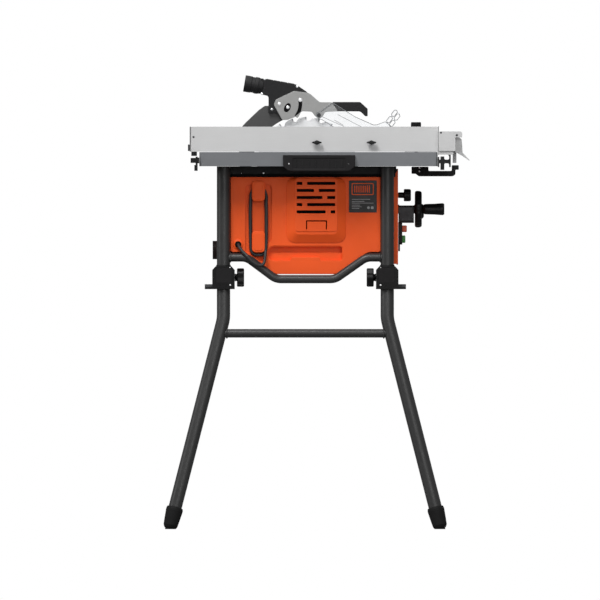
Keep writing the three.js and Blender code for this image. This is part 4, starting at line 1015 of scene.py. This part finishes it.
def clear_guard(node):
    b = Box(node)
    y0, y1 = b.y0, b.y1
    outer = y0 if b.y < 0 else y1
    outline = rounded([(24, 1000, 5), (26, 988, 6), (40, 982, 8), (126, 928, 14), (172, 928, 10),
        (190, 946, 8), (206.3, 966, 5), (198, 972, 3), (190, 978, 3), (170, 970.5, 12), (162, 970, 12),
        (117, 990, 10), (63, 1024, 6), (36, 1004, 8)], 4, 6)
    add(plate([outline, ring(*SHEET_PIVOT, 3.1)], y0 + 0.2, y1 - 0.2, 0.3), node + "_sheet", CLEAR, node)
    # Beads moulded along the rim and across the sheet, at the slope of its top edge.
    beads = [bead(outline, (y0 + y1) / 2, 0.7)]
    for start, end in (((76, 995), (134, 965)), ((34, 992), (92, 966)), ((68, 982), (90, 969))):
        p, q = Vector(start), Vector(end)
        across = Vector((-(q - p).y, (q - p).x)).normalized() * 0.55
        line = [tuple(p + across), tuple(p - across), tuple(q - across), tuple(q + across)]
        beads.append(plate([line], outer - 0.35, outer + 0.35, 0.2, steps=1))
    # The pierced lip, two rows of long cells.
    base, tip = Vector((198.5, 971.6)), Vector((222.3, 1003))
    along = (tip - base).normalized()
    across = Vector((-along.y, along.x))
    at = lambda u, v: (*(base + along * u + across * v), 1.6)
    cells = []
    for first, v0, v1 in ((1, 0.9, 9.8), (-2.5, -9.8, -0.9)):
        mid = (v0 + v1) / 2
        for col in range(2):
            u0 = first + col * 19.4
            u1 = u0 + 18.4
            cell = [at(u0, mid), at(u0 + 3.4, v0), at(u1 - 3.4, v0), at(u1, mid), at(u1 - 3.4, v1),
                at(u0 + 3.4, v1)]
            cells.append(rounded(cell, 1.6, 4))
    beads += [bead(cell, (y0 + y1) / 2, 0.75) for cell in cells]
    # The beads are opaque grey: painted shade for the dark lines of the clear sheet's edges.
    add(beads, node + "_beads", SHEET_EDGE_SHADE, body=BODY_OF[node])
    rim = rounded([at(-6, -9.6), at(33, -9.6), at(39.2, -3), at(39.2, 9.6), at(-2, 9.6)], 3, 4)
    add(plate([rim] + cells, y0 + 0.2, y1 - 0.2, 0.3), node + "_lip", CLEAR, body=BODY_OF[node])


riving_knife()
dust_hood()
guard_arm()
clear_guard("left_clear_guard")
clear_guard("right_clear_guard")

# ---- saw unit ----


def saw_blade():
    teeth = 24
    tooth = [(1.2, 0), (0.6, 0.05), (1.6, 0.3), (4, 0.56), (8.5, 0.72), (10.2, 0.8), (9.6, 0.9),
        (6.5, 0.96)]
    spots = [(BLADE_RADIUS - drop, 2 * pi * (k + share) / teeth) for k in range(teeth)
        for drop, share in tooth]
    loop = [(r * cos(a), ARBOR_Z + r * sin(a)) for r, a in spots]
    holes = [ring(0, ARBOR_Z, 8.1)]
    # Four curled slots that let the rim expand.
    slot = [(0, 0), (9, 0), (18, 0), (27, 0), (27, 0.012), (18, 0.014), (9, 0.014), (0, 0.014)]
    for k in range(4):
        spots = [(80 + out, pi / 2 * k + 0.4 + out * 0.012 + swing) for out, swing in slot]
        holes.append(rounded([(r * cos(a), ARBOR_Z + r * sin(a)) for r, a in spots], 0.5, 2))
    add(plate([loop] + holes, -0.9, 0.9, 0.15, steps=1), "blade_plate", BLADE_STEEL, "blade")
    tips = []
    for k in range(teeth):
        tip = block(BLADE_RADIUS - 6.5, BLADE_RADIUS - 0.4, -1.3, 1.3, -2.6, 0.4, 0.3)
        a = 2 * pi * k / teeth
        moved(tip, Matrix.Translation((0, 0, ARBOR_Z)) @ Matrix.Rotation(-a - 0.012, 4, "Y"))
        tips.append(tip)
    add(tips, "blade_tips", CARBIDE, body="blade")


saw_blade()
keep("arbor_shaft", STEEL, 0.4)
keep("arbor_nut", DARK_STEEL, 0.6)
keep("motor_housing", BLACK, 1)
keep("lift_carriage", CASTING, 1)
keep("tilt_yoke", DARK_STEEL, 1)
keep("lift_screw", STEEL, 0.3)


CRANK_Y = -30


def hand_wheel():
    b = Box("handwheel")
    z, radius = b.z, (b.z1 - b.z0) / 2
    x0 = 261
    drops = [(0.4, 9.5), (0, 6), (0.8, 2), (4, 0.1), (9, 0), (13, 0.6), (16.4, 3), (17, 7), (16, 10.5),
        (8, 11)]
    section = [(along, radius - drop) for along, drop in drops]
    rim = lathe(section, (x0, 0, z), FRONT, 96, wave=lambda a, along: 1 + 0.012 * cos(24 * a))
    hub = lathe([(0, 0), (0, 14), (6, 15), (14, 14.4), (20, 11.5), (23, 8), (23, 0)], (x0, 0, z), FRONT, 48,
        1.2)
    boss = lathe([(-2, 0), (-2, 10.5), (2, 11), (2, 0)], (x0, 0, z), FRONT, 40, 0.3)
    cap = lathe([(0, 0), (0, 12.6), (4, 11.4), (6.4, 7), (6.4, 0)], (x0 + 15.6, 6, z - 10.5), FRONT, 40,
        0.8)
    shaft = lathe([(0, 0), (0, 6.4), (7, 13.3), (12, 13.3), (12, 5.9), (112, 5.9), (112, 0)], (153, 0, z),
        FRONT, 32, 0.3)
    shapes = [rim, hub, boss, cap, shaft]
    for turn in (30, 150, 270):
        spoke = plate([rounded([(-6.5, 10), (6.5, 10), (5.5, radius - 8), (-5.5, radius - 8)], 1, 2)],
            x0 + 4, x0 + 12, 1.6, "x", 3)
        moved(spoke, Matrix.Translation((0, 0, z)) @ Matrix.Rotation(radians(turn), 4, "X"))
        shapes.append(spoke)
    shapes.append(lathe([(-1, 0), (-1, 8.5), (12, 8.9), (16.6, 8.2), (16.6, 0)], (x0 + 0.5, CRANK_Y, z),
        FRONT, 36, 0.8))
    add(shapes, "handwheel_rim", GLOSS_BLACK, "handwheel")
    flute = lambda a, along: 1 - (0.03 * (0.5 + 0.5 * cos(12 * a)) if 12 < along < 48 else 0)
    profile = [(-12, 0), (-12, 3), (0.4, 3), (0.4, 8.6), (3, 10.4), (8, 12.4), (14, 13), (30, 13.4),
        (46, 14.6), (51, 14.4), (54, 12.2), (54, 0)]
    add(lathe(profile, (278, CRANK_Y, z), FRONT, 96, 1.2, flute), "crank_handle_grip", GLOSS_BLACK,
        "crank_handle")


def bevel_lock():
    b = Box("bevel_lock_knob")
    knurl = lambda a, along: 1 - (0.05 * (0.5 + 0.5 * cos(16 * a)) if along > 52.5 else 0)
    r = (b.z1 - b.z0) / 2
    profile = [(0, 0), (0, 4), (38.4, 4), (38.4, 6.9), (51.5, 6.9), (51.8, r - 1.5), (53.5, r), (66, r),
        (68.4, r - 1.6), (69, r - 4), (69, 0)]
    add(lathe(profile, (183, b.y, b.z), FRONT, 96, 0.6, knurl), "bevel_lock_grip", GLOSS_BLACK,
        "bevel_lock_knob")


def switch():
    keep("switch_box", BLACK, 1, 3)
    for node, material in (("stop_button", RED), ("start_button", GREEN)):
        b = Box(node)
        body = pad((b.y0, b.y1, b.z0, b.z1, 3.5, 6), b.x0, b.x1, 2.4, "x", 4)
        bars = [pad((b.y0 + 8, b.y1 - 8, b.z - 0.7 + d, b.z + 0.7 + d, 0.5, 2), b.x1 - 0.5, b.x1 - 0.02,
            0.2, "x") for d in (-3, 0, 3)]
        add([body] + bars, node + "_cap", material, node)


hand_wheel()
bevel_lock()
switch()

# ---- stage, light, camera ----


def stage():
    half = 6
    mesh = bpy.data.meshes.new("floor")
    mesh.from_pydata([(-half, -half, 0), (half, -half, 0), (half, half, 0), (-half, half, 0)], [],
        [(0, 1, 2, 3)])
    floor = link_in(bpy.data.objects.new("floor", mesh))
    floor.location.z = -0.0005
    material, n = blank_material("pale_floor")
    # Pale to the camera, and duller to the light it sends back up under the machine.
    shade = n.span(n.new("LightPath").outputs["Is Camera Ray"], 0.2, 0.86, 0, 1)
    gloss = n.span(n.noise(n.place(), 3), 0.6, 0.75)
    n.feed(n.tree.nodes["Principled BSDF"], {"Base Color": shade, "Roughness": gloss})
    mesh.materials.append(material)

    scene = bpy.context.scene
    scene.world = bpy.data.worlds.new("studio")
    n = Nodes(scene.world)
    n.tree.nodes.clear()
    white = (1, 1, 1, 1)
    seen = n.new("Background", {"Color": white}).outputs[0]
    light = n.new("Background", {"Color": white, "Strength": 0.27}).outputs[0]
    mix = n.new("MixShader", {0: n.new("LightPath").outputs["Is Camera Ray"], 1: light, 2: seen})
    n.new("OutputWorld", {0: mix.outputs[0]})

    aim = Vector((0, 0, 0.65))
    for name, place, size, power in (
        ("key", (-0.9, -2.2, 3.4), 1.3, 106),
        ("front", (0.8, -3.4, 1.4), 1.8, 26),
        ("side", (-3.2, -0.9, 1.3), 1.2, 16),
        ("top", (0.1, -0.2, 2.9), 2.2, 30),
        ("back", (-0.6, 2.8, 2), 1.8, 30),
    ):
        data = bpy.data.lights.new(name, "AREA")
        data.size, data.energy = size, power
        lamp = link_in(bpy.data.objects.new(name, data))
        lamp.location = place
        lamp.rotation_mode = "QUATERNION"
        lamp.rotation_quaternion = (aim - Vector(place)).to_track_quat("-Z", "Y")

    lens = bpy.data.cameras.new("camera")
    lens.type, lens.ortho_scale, lens.clip_end = "ORTHO", 1.44, 50
    scene.camera = link_in(bpy.data.objects.new("camera", lens))
    scene.camera.location = (ARBOR_X - 0.0144, -5, 0.55)
    scene.camera.rotation_euler = (pi / 2, 0, 0)
    scene.view_settings.view_transform = "Standard"


stage()
